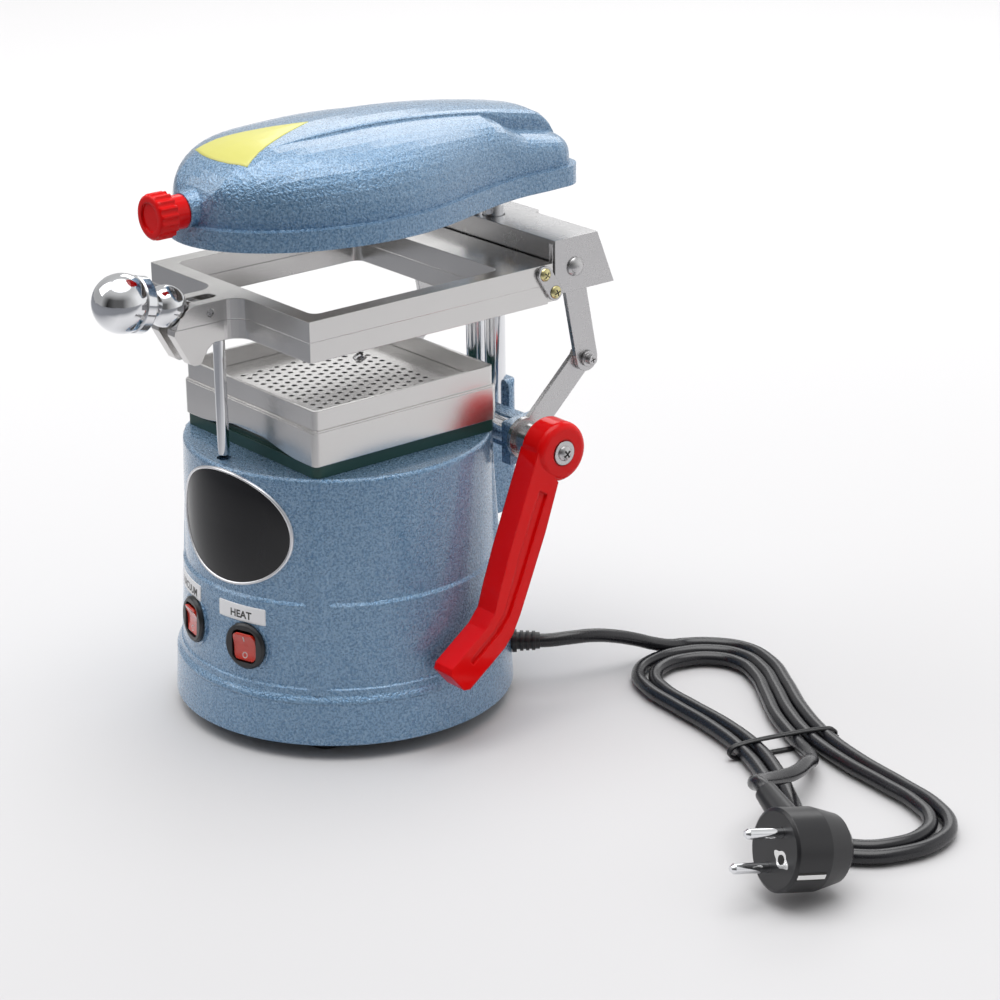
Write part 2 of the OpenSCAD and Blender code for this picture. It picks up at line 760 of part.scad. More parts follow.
module carriage_pins() {
    color("gainsboro") both_sides() {
        rod_x(pin_d, link_in - 1.6, side_out + 0.5, carriage_pin_y, pin_z);
        translate([side_out, carriage_pin_y, pin_z]) intersection() {
            translate([-3.2, 0, 0]) sphere(r = 6.2);
            rotate([0, 90, 0]) cylinder(d = 9.6, h = 5);
        }
    }
}

// Clamp frames

lug_blend = 9;
// The outline of a frame with its front lug, joined by hollow curves
module frame_outline(rear, rear_w) {
    hw = frame_w / 2;
    lw = lug_w / 2;
    polygon(concat(
        [[-rear_w / 2, rear], [-rear_w / 2, tab_front - gap], [-hw, tab_front - gap],
            [-hw, -frame_front], [-lw - lug_blend, -frame_front]],
        arc(-lw - lug_blend, -frame_front - lug_blend, lug_blend, 90, 0, 8),
        [[-lw, -lug_front + 2], [-lw + 2, -lug_front], [lw - 2, -lug_front], [lw, -lug_front + 2]],
        arc(lw + lug_blend, -frame_front - lug_blend, lug_blend, 180, 90, 8),
        [[hw, -frame_front], [hw, tab_front - gap], [rear_w / 2, tab_front - gap],
            [rear_w / 2, rear]]));
}

module opening_outline() {
    translate([0, (opening_rear - opening_front) / 2])
        rounded(opening_w, opening_rear + opening_front, corner_r);
}

module slot_outline() {
    front = lug_front + 5;
    translate([-slot_w / 2, -front]) square([slot_w, front - latch_pin_y + 5]);
    translate([0, -latch_pin_y + 5]) circle(d = slot_w);
}

// The round seat that the small ball needs in the lugs, at rest and as the bolt swings up
module hub_seat() {
    for (a = [0:4:8])
        translate([0, -latch_pin_y, latch_z]) rotate([90 - bolt_tilt - a, 0, 0])
            translate([0, 0, hub_at]) sphere(d = hub_d + 1.2, $fn = 48);
}

// What lies ahead of the front edge keeps inside this side view
module lug_side(points) {
    plate_x(-frame_w, frame_w, points);
}

module upper_frame() {
    color("lightgray") difference() {
        intersection() {
            translate([0, 0, parting_z]) linear_extrude(upper_t) frame_outline(frame_rear, frame_w);
            lug_side(concat([[100, parting_z], [100, frame_top], [-latch_pin_y - 7, frame_top]],
                arc(-latch_pin_y - 7, frame_top - 12.5, 12.5, 90, 170, 8),
                [[-lug_front + 2, parting_z]]));
        }
        translate([0, 0, parting_z - 1]) linear_extrude(upper_t + 2) opening_outline();
        translate([0, 0, parting_z - 1]) linear_extrude(upper_t + 2) slot_outline();
        rod_x(latch_pin_d + 2 * play, -20, 20, -latch_pin_y, latch_z);
        hub_seat();
        both_sides() rod_x(3.2, side_out - 8, side_out + 1, hinge_y - 6.3, parting_z + upper_t / 2 + 0.8);
    }
}

prong_tip_y = 87;
prong_tip_z = parting_z - 19;
module lower_frame() {
    color("lightgray") difference() {
        intersection() {
            union() {
                translate([0, 0, frame_bottom]) linear_extrude(lower_t)
                    frame_outline(lower_rear, 2 * side_in);
                translate([-lug_w / 2, -lug_front, prong_tip_z])
                    cube([lug_w, lug_front - 76, parting_z - prong_tip_z]);
            }
            lug_side(concat([[100, parting_z - touch], [100, frame_bottom], [-72, frame_bottom],
                [-76.5, frame_bottom - 0.4], [-79.5, frame_bottom - 2.6], [-82.5, prong_tip_z + 1.5],
                [-84, prong_tip_z]], [[-prong_tip_y, prong_tip_z], [-prong_tip_y - 2, prong_tip_z + 1.2],
                [-lug_front + 0.5, parting_z - 2.5], [-lug_front + 1, parting_z - touch]]));
        }
        translate([0, 0, frame_bottom - 1]) linear_extrude(lower_t + 2) opening_outline();
        translate([0, 0, prong_tip_z - 1]) linear_extrude(40) slot_outline();
        hub_seat();
        both_sides() rod_x(4 + 2 * play, side_in - 9, side_out + 1, hinge_y, hinge_z);
        translate([0, -rod_y, frame_bottom - 1]) cylinder(d = rod_d + 2 * play, h = 7);
    }
}

module guide_rod() {
    color("gainsboro") translate([0, -rod_y, 0]) rotate_extrude($fn = 48) polygon([
        [0, deck_z + 0.5], [rod_d / 2 - 1, deck_z + 0.5], [rod_d / 2, deck_z + 2],
        [rod_d / 2, frame_bottom + 6], [0, frame_bottom + 6]]);
}

// Hinge: a short link at each side turns on the lower screw and carries the upper frame

hinge_t = 1.5;
module hinge_links() {
    color("lightgray") both_sides() difference() {
        link_y = hinge_y - 6.3;
        link_z = parting_z + upper_t / 2 + 0.8;
        translate([side_out + gap, 0, 0]) rotate([90, 0, 90]) linear_extrude(hinge_t) difference() {
            union() {
                translate([hinge_y, hinge_z]) circle(r = 4.2);
                translate([link_y, link_z]) circle(r = 4.2);
                translate([hinge_y, hinge_z]) rotate(atan2(link_z - hinge_z, link_y - hinge_y))
                    translate([0, -4.2]) square([norm([link_y - hinge_y, link_z - hinge_z]), 8.4]);
            }
            translate([hinge_y, hinge_z]) circle(d = 4 + 2 * play);
        }
    }
    color("lightgray") both_sides() {
        translate([side_out + gap + hinge_t, hinge_y - 6.3, parting_z + upper_t / 2 + 0.8])
            intersection() {
                translate([-2.6, 0, 0]) sphere(r = 4.2);
                rotate([0, 90, 0]) cylinder(d = 6.4, h = 3);
            }
        rod_x(3, side_out - 6, side_out + gap, hinge_y - 6.3, parting_z + upper_t / 2 + 0.8);
    }
}

module hinge_screws() {
    color("khaki") both_sides() {
        rod_x(4, side_in - 8, side_out + gap + hinge_t + 0.2, hinge_y, hinge_z);
        translate([side_out + gap + hinge_t + 0.2, hinge_y, hinge_z]) intersection() {
            translate([-2.6, 0, 0]) sphere(r = 4.2);
            rotate([0, 90, 0]) cylinder(d = 6.4, h = 3);
        }
    }
}

// Latch

module latch_pin() {
    color("gainsboro") rod_x(latch_pin_d, -lug_w / 2 + 0.6, lug_w / 2 - 0.6, -latch_pin_y, latch_z);
}

// Local frame of the bolt: Z runs from the latch pin out along the bolt
module on_bolt() {
    translate([0, -latch_pin_y, latch_z]) rotate([90 - bolt_tilt, 0, 0]) children();
}

neck_d = 9;
module latch_bolt() {
    color("gainsboro") on_bolt() difference() {
        union() {
            rotate([0, 90, 0]) translate([0, 0, -slot_w / 2 + gap])
                cylinder(d = bolt_d + 1.4, h = slot_w - 2 * gap);
            cylinder(d = bolt_d, h = ball_at - 4);
        }
        rotate([0, 90, 0]) translate([0, 0, -10]) cylinder(d = latch_pin_d + 2 * play, h = 20);
    }
}

module latch_hub() {
    color("gainsboro") on_bolt() difference() {
        union() {
            intersection() {
                translate([0, 0, hub_at]) sphere(d = hub_d);
                translate([0, 0, hub_at - 7]) cylinder(d = hub_d, h = 17);
            }
            translate([0, 0, hub_at - hub_d / 2 - 2]) cylinder(d = slot_w - 2 * gap, h = 5);
        }
        translate([0, 0, -1]) cylinder(d = bolt_d + 2 * play, h = 60);
        translate([0, 0, hub_at + 8]) cylinder(d = hub_d, h = 20);
    }
}

module ball_knob() {
    color("gainsboro") on_bolt() difference() {
        union() {
            translate([0, 0, ball_at]) sphere(d = ball_d);
            translate([0, 0, ball_at - ball_d / 2 + 1]) cylinder(d = ball_d - 7, h = 9);
            translate([0, 0, ball_at - ball_d / 2 + 3.4]) cylinder(d = ball_d - 1.4, h = 4.6);
            translate([0, 0, hub_at + 8]) cylinder(d = neck_d, h = ball_at - hub_at - 16);
        }
        translate([0, 0, -1]) cylinder(d = bolt_d + 2 * play, h = ball_at - 2);
    }
}

// Heater head

// Half width of the head's flange at a place along the head
function head_half(y) = y < head_mid
    ? head_hw * sqrt(max(0, 1 - pow((head_mid - y) / (head_front + head_mid), 2)))
    : let (u = min(1, (y - head_mid) / (88 - head_mid)))
        neck_hw + (head_hw - neck_hw) * (0.5 + 0.5 * cos(180 * u)) - max(0, y - 95) * 0.06;

tail_r = 12;
function tail_half(y) = y < head_rear - tail_r ? head_half(y)
    : head_half(y) - tail_r + sqrt(max(0, tail_r * tail_r - pow(y - head_rear + tail_r, 2)));

head_steps = 40;
// Places along the head, close together at both ends
function head_at(i, inset) = -(head_front - inset)
    + (head_front + head_rear - 2 * inset) * (0.5 - 0.5 * cos(180 * i / head_steps));

module head_outline(inset) {
    right = [for (i = [0:head_steps]) let (y = head_at(i, inset), s = (y + (head_front - inset)) /
        (head_front + head_rear - 2 * inset), full = -head_front + s * (head_front + head_rear))
        [max(0.01, tail_half(full) - inset * (i == 0 ? 0 : 1)), y]];
    polygon(concat(right, [for (i = [head_steps:-1:0]) [-right[i][0], right[i][1]]]));
}

dome_inset = 2.4;
side_steps = 9;
dome_rear = head_rear - dome_inset;
spine_half = 17.5;
spine_front = -50;
neck_y = 70;
rear_round = 6;

function smooth(u) = let (v = min(1, max(0, u))) v * v * (3 - 2 * v);

// Height of the crown over the flange: a long low arch with a blunt nose
function crown(y) = (dome_h + 0.4 - 0.00095 * y * y)
    * (y > -40 ? 1 : sqrt(max(0, 1 - pow((-40 - y) / (head_front - dome_inset - 40), 3.2))));

// How far the dome lies under the crown beside the spine; the neck is lower than the spine
function step_down(y) = 0.3 + 1.3 * smooth((y - spine_front) / 35) + 7 * smooth((y - neck_y) / 20);

// How far a round edge of a given radius has dropped before the rear wall
function rear_drop(y, r) = y < dome_rear - r ? 0 : r - sqrt(max(0, r * r - pow(y - dome_rear + r, 2)));

// The dome and its spine, ring after ring along the head
module head_dome() {
    n = head_steps;
    m = side_steps;
    loft([for (i = [1:n])
        let (y = head_at(i, dome_inset), s = (y + head_front - dome_inset) /
                (head_front + head_rear - 2 * dome_inset),
            full = -head_front + s * (head_front + head_rear),
            a = max(2.4, tail_half(full) - dome_inset), sp = min(0.8 * a, spine_half),
            neck = smooth((y - 50) / 45), ex = 0.72 - 0.26 * neck, ez = 0.66 - 0.16 * neck,
            z0 = base_z - 0.5, crest = max(1.5, crown(y)),
            side = max(1.2, crest - 1.2 * sp / spine_half - step_down(y) - rear_drop(y, rear_round)),
            t_end = acos(pow(sp / a, 1 / ex)), h = side / pow(sin(t_end), ez),
            z1 = z0 + side,
            top = max(z1 + 0.2, z0 + crest - 1.2 * sp / spine_half - rear_drop(y, 13)),
            crest_z = max(top + 0.2, z0 + crest - rear_drop(y, 13)),
            right = concat([for (k = [0:m]) let (t = t_end * k / m)
                    [a * pow(cos(t), ex), z0 + h * pow(sin(t), ez)]],
                [[0.985 * sp, z1 + 0.6 * (top - z1)], [0.93 * sp, z1 + 0.87 * (top - z1)],
                    [0.8 * sp, top + 0.2 * (crest_z - top)], [0.4 * sp, top + 0.8 * (crest_z - top)]]),
            q = len(right))
        concat([for (p = right) [p[0], y, p[1]]], [[0, y, crest_z]],
            [for (k = [q - 1:-1:0]) [-right[k][0], y, right[k][1]]])]);
}

bush_d = 18;
head_knob_z = head_z + 15.5;
// The outline of the head, drawn in and cut off behind
module hollow_outline(inset, rear) {
    intersection() {
        head_outline(inset);
        translate([-head_hw - 1, -head_front - 1]) square([2 * head_hw + 2, head_front + 1 + rear]);
    }
}

// The casting before its two bores are cut: flange, dome, hollow underside and boss
module head_shell() {
    resize([0, 0, 0]) {
        difference() {
            union() {
                translate([0, 0, head_z]) linear_extrude(flange_h) head_outline(0);
                head_dome();
                translate([0, -head_front + 16, head_knob_z]) rotate([90, 0, 0])
                    cylinder(r1 = knob_r, r2 = knob_r * 0.8, h = 16);
            }
            translate([0, 0, head_z - 1]) linear_extrude(14) hollow_outline(head_wall, 72);
            translate([0, 0, head_z + 12]) linear_extrude(16) hollow_outline(15, 44);
        }
    }
}

module head_casting() {
    color("lightsteelblue") translate([head_x, 0, 0]) difference() {
        head_shell();
        translate([0, column_y, head_z - 1]) cylinder(d = bush_d + 2 * play, h = 17);
        translate([0, -head_front + 12, head_knob_z]) rotate([90, 0, 0]) cylinder(d = 5, h = 20);
    }
}

module head_bush() {
    color("darkgoldenrod") translate([column_x, column_y, head_z - 4]) difference() {
        union() {
            cylinder(d = bush_d, h = 19.5);
            cylinder(d = bush_d + 5, h = 4);
        }
        translate([0, 0, -1]) cylinder(d = column_d + 2 * play, h = 30);
    }
}

reflector_rear = 58;
reflector_h = 9.4;
reflector_t = 1.6;
module heater_reflector() {
    color("silver") translate([head_x, 0, head_z + 0.8]) difference() {
        linear_extrude(reflector_h) hollow_outline(head_wall + 1.5, reflector_rear);
        translate([0, 0, -1]) linear_extrude(reflector_h - 0.6)
            hollow_outline(head_wall + 1.5 + reflector_t, reflector_rear - reflector_t);
    }
}

// The bent heating rod inside the reflector
element_d = 6.5;
element_runs = 6;
module heating_element() {
    pitch = 14;
    run = 66;
    color("dimgray") translate([head_x, -10, head_z + 5.2]) {
        for (i = [0:element_runs - 1])
            translate([-run / 2, (i - (element_runs - 1) / 2) * pitch, 0]) rotate([0, 90, 0])
                cylinder(d = element_d, h = run, $fn = 24);
        for (i = [0:element_runs - 2])
            translate([(i % 2 == 0 ? 1 : -1) * run / 2, (i - (element_runs - 2) / 2) * pitch, 0])
                rotate(i % 2 == 0 ? -90 : 90) rotate_extrude(angle = 180, $fn = 32)
                    translate([pitch / 2, 0]) circle(d = element_d, $fn = 24);
    }
}

module reflector_screws() {
    color("silver") for (x = [-1, 1]) for (y = [-1, 1])
        translate([head_x + x * 27, -8 + y * 52, head_z + 0.8 + reflector_h]) cylinder(d = 5, h = 2.8);
}

knob_neck = 7.8;
module head_knob() {
    color("red") translate([head_x, -head_front - touch, head_knob_z]) rotate([90, 0, 0]) difference() {
        union() {
            cylinder(r = knob_r * 0.74, h = knob_neck);
            translate([0, 0, knob_neck]) difference() {
                rotate_extrude($fn = 64) polygon(concat([[0, 0], [knob_r, 0]],
                    arc(knob_r - 2, 7.5, 2, 0, 90, 6), [[0, 9.5]]));
                for (a = [0:20:340]) rotate(a) translate([knob_r + 0.9, 0, -1]) cylinder(r = 1.7, h = 14, $fn = 24);
            }
        }
        translate([0, 0, knob_neck + 8.6]) cylinder(r = knob_r - 4, h = 2);
    }
}

// Cord

gland_dir = [sin(-gland_angle), cos(gland_angle)];
gland_start = ring_r - 0.6;
gland_out = 14;

module strain_relief() {
    color("black") at_gland() difference() {
        union() {
            translate([0, 0, -5]) cylinder(d = gland_hole_d - 2 * play, h = 6);
            translate([0, 0, 0.1]) cylinder(d = 11.6, h = 2.3);
            for (i = [0:2]) translate([0, 0, 4 + i * 3]) cylinder(d = 10.4 - 0.3 * i, h = 1.7);
            translate([0, 0, 1]) cylinder(d1 = 9, d2 = cord_d + 1.4, h = gland_out - 1);
        }
        translate([0, 0, gland_out - 6]) cylinder(d = cord_d, h = 10);
    }
}

// Rings of a round tube along a list of points
function tube_rings(path, r, sides) = let (n = len(path)) [for (i = [0:n - 1])
    let (d = unit(path[min(i + 1, n - 1)] - path[max(i - 1, 0)]), s = unit(cross(d, [0, 0, 1])),
        u = cross(s, d))
    [for (k = [0:sides - 1]) path[i] + r * (cos(360 * k / sides) * s + sin(360 * k / sides) * u)]];

floor_z = cord_d / 2 + 0.8;
exit_at = [(gland_start + gland_out - 6) * gland_dir[0], (gland_start + gland_out - 6) * gland_dir[1], gland_z];

hank_mid = [196, 114];
hank_turn = -18;
hank_half = 126;
hank_lobe = 58;
hank_waist = 26;
hank_start = 165;
hank_rings = 53;

// From the middle of the hank: along it, across it and up
function on_hank(p) = [hank_mid[0] + p[0] * cos(hank_turn) - p[1] * sin(hank_turn),
    hank_mid[1] + p[0] * sin(hank_turn) + p[1] * cos(hank_turn), p[2]];

function hank_point(i) = let (t = hank_start - 15 * i, k = i / 24)
    on_hank([(hank_half - 9 * k) * cos(t),
        sin(t) * (hank_waist - 8 * k + (hank_lobe - 5 * k) * pow(cos(t), 2)), floor_z]);

hank_path = [for (i = [0:hank_rings]) hank_point(i)];
hank_from = unit(hank_path[1] - hank_path[0]);
hank_last = len(hank_path) - 1;
hank_to = unit(hank_path[hank_last] - hank_path[hank_last - 1]);

hank_gap = min([for (i = [0:hank_last]) for (j = [i + 12:1:hank_last])
    norm(hank_path[i] - hank_path[j])]) - cord_d;
echo(hank_gap = hank_gap);

module cord_hank() {
    color("black") loft(tube_rings(hank_path, cord_d / 2, 6));
}

// The free stretch from the housing to the hank
cord_route = concat([exit_at, exit_at + 10 * [gland_dir[0], gland_dir[1], 0]],
    [[69.5, 90, 25.2], [72.5, 102, 24], [74.5, 115, 20.5], [76, 128, 15.5], [76.6, 140, 10], [77.2, 151, 6],
        [78, 160, 4.4]], [hank_path[0] - 8 * hank_from, hank_path[0]]);

module power_cord() {
    color("black") loft(tube_rings(cord_route, cord_d / 2, 10));
}

plug_at = [305, 24, 21.4];
plug_turn = 258;
plug_pitch = 12;
plug_roll = -15;
plug_r = 18.5;
relief_l = 40;

module at_plug() {
    translate(plug_at) rotate(plug_turn) rotate([0, -plug_pitch, 0]) rotate([plug_roll, 0, 0]) children();
}

relief_flat = relief_l * cos(plug_roll);
relief_up = -relief_l * sin(plug_roll) * cos(plug_pitch);
relief_back = relief_l * sin(plug_roll) * sin(plug_pitch);
relief_end = plug_at + [relief_flat * cos(plug_turn - 90) + relief_back * cos(plug_turn),
    relief_flat * sin(plug_turn - 90) + relief_back * sin(plug_turn), relief_up];
relief_dir = unit(relief_end - plug_at);

lead_route = [hank_path[hank_last], hank_path[hank_last] + 8 * hank_to, on_hank([26, 3, 7.5]),
    on_hank([40, -7, 13]), on_hank([52, -19, 16]), on_hank([61, -33, 20]), on_hank([70, -45, 25]),
    on_hank([80, -53, 30]), relief_end + 6 * relief_dir, relief_end - 6 * relief_dir];

module plug_lead() {
    color("black") loft(tube_rings(lead_route, cord_d / 2, 10));
}

tie_w = 2 * hank_waist + 5;
module cord_tie() {
    color("black") translate([hank_mid[0], hank_mid[1], 0]) rotate(hank_turn) translate([-3, 0, 0])
        rotate([90, 0, 90]) linear_extrude(5) difference() {
            translate([1.4, 4.3]) rounded(tie_w + 1.4, 8.4, 4);
            translate([1.4, 4.3]) rounded(tie_w, 7.2, 3.5);
        }
}

module plug_body() {
    color("black") at_plug() difference() {
        union() {
            rotate([0, 90, 0]) rotate_extrude($fn = 64) polygon([[0, -16], [11, -16], [15.4, -12],
                [plug_r, 0], [plug_r, 17], [17, 18], [0, 18]]);
            rotate([90, 0, 0]) cylinder(d1 = 17, d2 = 10.4, h = relief_l);
        }
        rotate([90, 0, 0]) translate([0, 0, relief_l - 6]) cylinder(d = cord_d, h = 10);
        for (s = [-1, 1]) translate([6, 0, s * 9.5]) rotate([0, 90, 0]) cylinder(d = 4.8, h = 20);
    }
}

module plug_pins() {
    color("silver") at_plug()
        for (s = [-1, 1]) translate([6, 0, s * 9.5]) rotate([0, 90, 0]) {
            cylinder(d = 4.8, h = 29.4);
            translate([0, 0, 29.4]) cylinder(d1 = 4.8, d2 = 2.4, h = 1.6);
        }
}

housing();
base_plate();
rubber_feet();
foot_screws();
vacuum_motor();
motor_seal();
chamber_tray();
chamber_gasket();
perforated_plate();
plate_screw();
heat_switch_body();
heat_rocker();
vacuum_switch_body();
vacuum_rocker();
head_column();
guide_column();
lever_shaft();
crank_links();
lever_spacer();
lever_handle();
lever_screw();
link_pins();
upper_links();
carriage();
carriage_bushes();
carriage_pins();
lower_frame();
guide_rod();
hinge_screws();
upper_frame();
hinge_links();
latch_pin();
latch_bolt();
latch_hub();
ball_knob();
head_casting();
head_bush();
heater_reflector();
heating_element();
reflector_screws();
head_knob();
strain_relief();
power_cord();
cord_hank();
plug_lead();
cord_tie();
plug_body();
plug_pins();
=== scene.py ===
# %% [markdown]
# # A dental vacuum former, dressed for a product photograph
# The exact solids come from CAD. This script gives them their finishes, adds the small things a
# drawing leaves out (label plates, screw slots, a real mains cord) and sets the studio round them.
# We start by loading the solids.

# %% Load the solids
import math
import bpy
from mathutils import Matrix, Vector


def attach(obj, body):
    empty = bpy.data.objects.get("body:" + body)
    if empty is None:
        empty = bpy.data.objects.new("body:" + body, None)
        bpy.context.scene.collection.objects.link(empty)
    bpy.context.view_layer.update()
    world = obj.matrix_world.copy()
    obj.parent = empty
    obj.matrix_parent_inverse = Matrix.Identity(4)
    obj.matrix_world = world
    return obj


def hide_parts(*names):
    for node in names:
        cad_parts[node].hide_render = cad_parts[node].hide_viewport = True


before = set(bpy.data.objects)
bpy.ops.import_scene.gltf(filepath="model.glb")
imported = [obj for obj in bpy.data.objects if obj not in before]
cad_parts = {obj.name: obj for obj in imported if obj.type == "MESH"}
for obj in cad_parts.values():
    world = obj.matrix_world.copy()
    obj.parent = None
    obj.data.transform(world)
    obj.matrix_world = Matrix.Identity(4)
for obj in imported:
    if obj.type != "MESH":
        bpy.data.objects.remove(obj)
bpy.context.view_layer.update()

# %% [markdown]
# ## The camera
# A product shot is taken from a little above with a long lens, which keeps upright edges nearly
# upright. A camera could be aimed with a Track To constraint, but a matrix built from its azimuth,
# elevation and roll says exactly where it stands, so that is the way taken here.

# %% Camera
azimuth, elevation, roll = (math.radians(angle) for angle in (50.98, 20.77, -0.67))
aim_height, aim_shift, distance = 0.10053, 0.07875, 1.4784
focal_length, sensor_width = 108, 36

back = Vector((math.sin(azimuth) * math.cos(elevation), -math.cos(azimuth) * math.cos(elevation),
               math.sin(elevation)))
level = Vector((math.cos(azimuth), math.sin(azimuth), 0))
upright = back.cross(level)
right = math.cos(roll) * level + math.sin(roll) * upright
up = -math.sin(roll) * level + math.cos(roll) * upright
stand = Vector((0, 0, aim_height)) + aim_shift * level + distance * back

camera = bpy.data.objects.new("camera", bpy.data.cameras.new("camera"))
camera.data.sensor_width = sensor_width
camera.data.lens = focal_length
camera.matrix_world = Matrix((right, up, back)).transposed().to_4x4()
camera.matrix_world.translation = stand
bpy.context.scene.collection.objects.link(camera)
bpy.context.scene.camera = camera
bpy.context.scene.view_settings.view_transform = "Standard"
print("camera at", [round(v, 3) for v in stand])

# %% [markdown]
# ## Small helpers for shaders
# A material is a little network of nodes. Written node by node it is long and hard to read, so one
# class wraps a socket and lets ordinary arithmetic add the Math nodes: `1 - mask * 0.5` then reads
# as it would on paper. Masks that rise past a value, or below one, are methods of it too.

# %% Arithmetic on sockets
class Sock:
    """An output socket that takes part in ordinary arithmetic."""

    def __init__(self, network, socket):
        self.network = network
        self.socket = socket

    def math(self, operation, a, b):
        return self.network.node("Math", {"operation": operation}, i0=a, i1=b)

    def __add__(self, other):
        return self.math("ADD", self, other)

    def __radd__(self, other):
        return self.math("ADD", other, self)

    def __sub__(self, other):
        return self.math("SUBTRACT", self, other)

    def __rsub__(self, other):
        return self.math("SUBTRACT", other, self)

    def __mul__(self, other):
        return self.math("MULTIPLY", self, other)

    def __rmul__(self, other):
        return self.math("MULTIPLY", other, self)

    def clamp(self):
        return self.math("MINIMUM", self.math("MAXIMUM", self, 0.0), 1.0)

    def past(self, start, steepness):
        """0 up to start, then rising to 1."""
        return ((self - start) * steepness).clamp()

    def short_of(self, end, steepness):
        """Falling to 0 at end, and 0 beyond it."""
        return ((end - self) * steepness).clamp()

# %% [markdown]
# Every node comes from one method, `node`, which takes its type, its settings and the values or
# links of its inputs. An input is named, or counted as `i0`, `i1` and so on where a node has several
# of the same name. The methods below it are short names for the nodes that this scene uses most.

# %% A network of nodes
class Network:
    """A node tree, and the means to add nodes to it."""

    def __init__(self, tree):
        self.tree = tree

    def feed(self, socket, value):
        if isinstance(value, Sock):
            self.tree.links.new(value.socket, socket)
        else:
            socket.default_value = value

    def node(self, kind, settings=None, out=0, **inputs):
        node = self.tree.nodes.new("ShaderNode" + kind)
        for key, value in (settings or {}).items():
            if key == "stops":
                for stop, (at, level) in zip(node.color_ramp.elements, value):
                    stop.position = at
                    stop.color = (level, level, level, 1)
            else:
                setattr(node, key, value)
        for key, value in inputs.items():
            self.feed(node.inputs[int(key[1:]) if key[1:].isdigit() else key.replace("_", " ")], value)
        return Sock(self, node.outputs[out])

    def mix(self, factor, a, b):
        a, b = (colour if isinstance(colour, Sock) else (*colour, 1) for colour in (a, b))
        return self.node("Mix", {"data_type": "RGBA"}, out=2, i0=factor, i6=a, i7=b)

    def where(self):
        return self.node("TexCoord", out="Object")

    def parts(self, vector):
        split = self.node("SeparateXYZ", Vector=vector)
        return [Sock(self, output) for output in split.socket.node.outputs]

    def noise(self, at, scale, detail=3.0, rough=0.5):
        return self.node("TexNoise", Vector=at, Scale=scale, Detail=detail, Roughness=rough)

    def ramp(self, value, low, high):
        return self.node("ValToRGB", {"stops": ((low, 0), (high, 1))}, Fac=value)

# %% [markdown]
# A finish is such a network round one Principled shader. What is the same all over the surface is
# given once, as a constant. What varies is linked with `set`, and `bump` also rounds the sharp edges
# of the solids a little, because real edges always catch a line of light.

# %% Finishes
bevel_samples = 6


class Finish(Network):
    """A material with one Principled shader."""

    def __init__(self, name, **constants):
        self.material = bpy.data.materials.new(name)
        self.material.use_nodes = True
        super().__init__(self.material.node_tree)
        self.shader = self.tree.nodes["Principled BSDF"]
        for key, value in constants.items():
            self.shader.inputs[key.replace("_", " ")].default_value = value

    def set(self, name, value):
        self.feed(self.shader.inputs[name], value)

    def bump(self, height, distance, strength=1.0, round_edges=0.0):
        extra = {}
        if round_edges:
            extra["Normal"] = self.node("Bevel", {"samples": bevel_samples}, Radius=round_edges)
        self.set("Normal", self.node("Bump", Height=height, Distance=distance, Strength=strength, **extra))


def dress(finish, *names):
    for name in names:
        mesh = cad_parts[name].data
        mesh.materials.clear()
        mesh.materials.append(finish.material)
    print(finish.material.name, "on", ", ".join(names))

# %% [markdown]
# ## Hammertone enamel
# The castings wear a stoved hammertone paint: while it dries, metal flakes gather into little
# islands with shiny dimples between them. A Voronoi texture could give round dents, but the real
# pattern is wormy, so two noises are used: a coarse one for the dimples, which goes into the bump
# and the colour, and a finer one for the bright flakes. A third, very broad one lets the blue drift.

# %% Hammertone
hollow_blue, island_blue = (0.09, 0.205, 0.36), (0.24, 0.38, 0.54)
flake_silver, drift_blue = (0.60, 0.72, 0.82), (0.14, 0.27, 0.44)
dimple_scale, flake_scale, drift_scale = 900, 1900, 9
island_shore, flake_shore = (0.36, 0.62), (0.55, 0.72)
flake_share, drift_share, dimple_depth = 0.5, 0.3, 0.0008

hammer = Finish("hammertone_blue", Metallic=0.5, IOR=1.5, Coat_Weight=0.8, Coat_Roughness=0.14)
at = hammer.where()
dimple = hammer.noise(at, dimple_scale, 2.0, 0.6)
island = hammer.ramp(dimple, *island_shore)
flake = hammer.ramp(hammer.noise(at, flake_scale, 1.0, 0.6), *flake_shore)
drift = hammer.noise(at, drift_scale, 2.0)
paint = hammer.mix(flake * island * flake_share, hammer.mix(island, hollow_blue, island_blue), flake_silver)
hammer.set("Base Color", hammer.mix((drift * drift_share).clamp(), paint, drift_blue))
hammer.set("Roughness", 0.22 + 0.14 * island)
hammer.bump(dimple, dimple_depth, 1.0, round_edges=0.0006)
dress(hammer, "housing", "head_casting")

# %% [markdown]
# ## Satin nickel, zinc and chrome
# The tray and the clamp frames are nickel plated over a machined casting, so they have a warm,
# slightly blotchy satin. The folded carriage and links are plated sheet, and the columns, rod and
# balls are polished chrome. They differ mostly in roughness, so one function makes them all, with
# a fine noise for the grain and a broad one for the blotches.

# %% Metals
grain_scale, blotch_scale = 900, 45
blotch_shade = 0.90


def metal(name, colour, rough, spread=0.08, depth=0.00002, edges=0.0005):
    finish = Finish(name, Metallic=1.0)
    grain = finish.noise(finish.where(), grain_scale, 2.0, 0.6)
    blotch = finish.noise(finish.where(), blotch_scale, 3.0, 0.6)
    finish.set("Base Color", finish.mix(blotch, tuple(blotch_shade * c for c in colour), colour))
    finish.set("Roughness", (rough - spread / 2) + spread * blotch + 0.05 * grain)
    finish.bump(grain, depth, 0.5, round_edges=edges)
    return finish


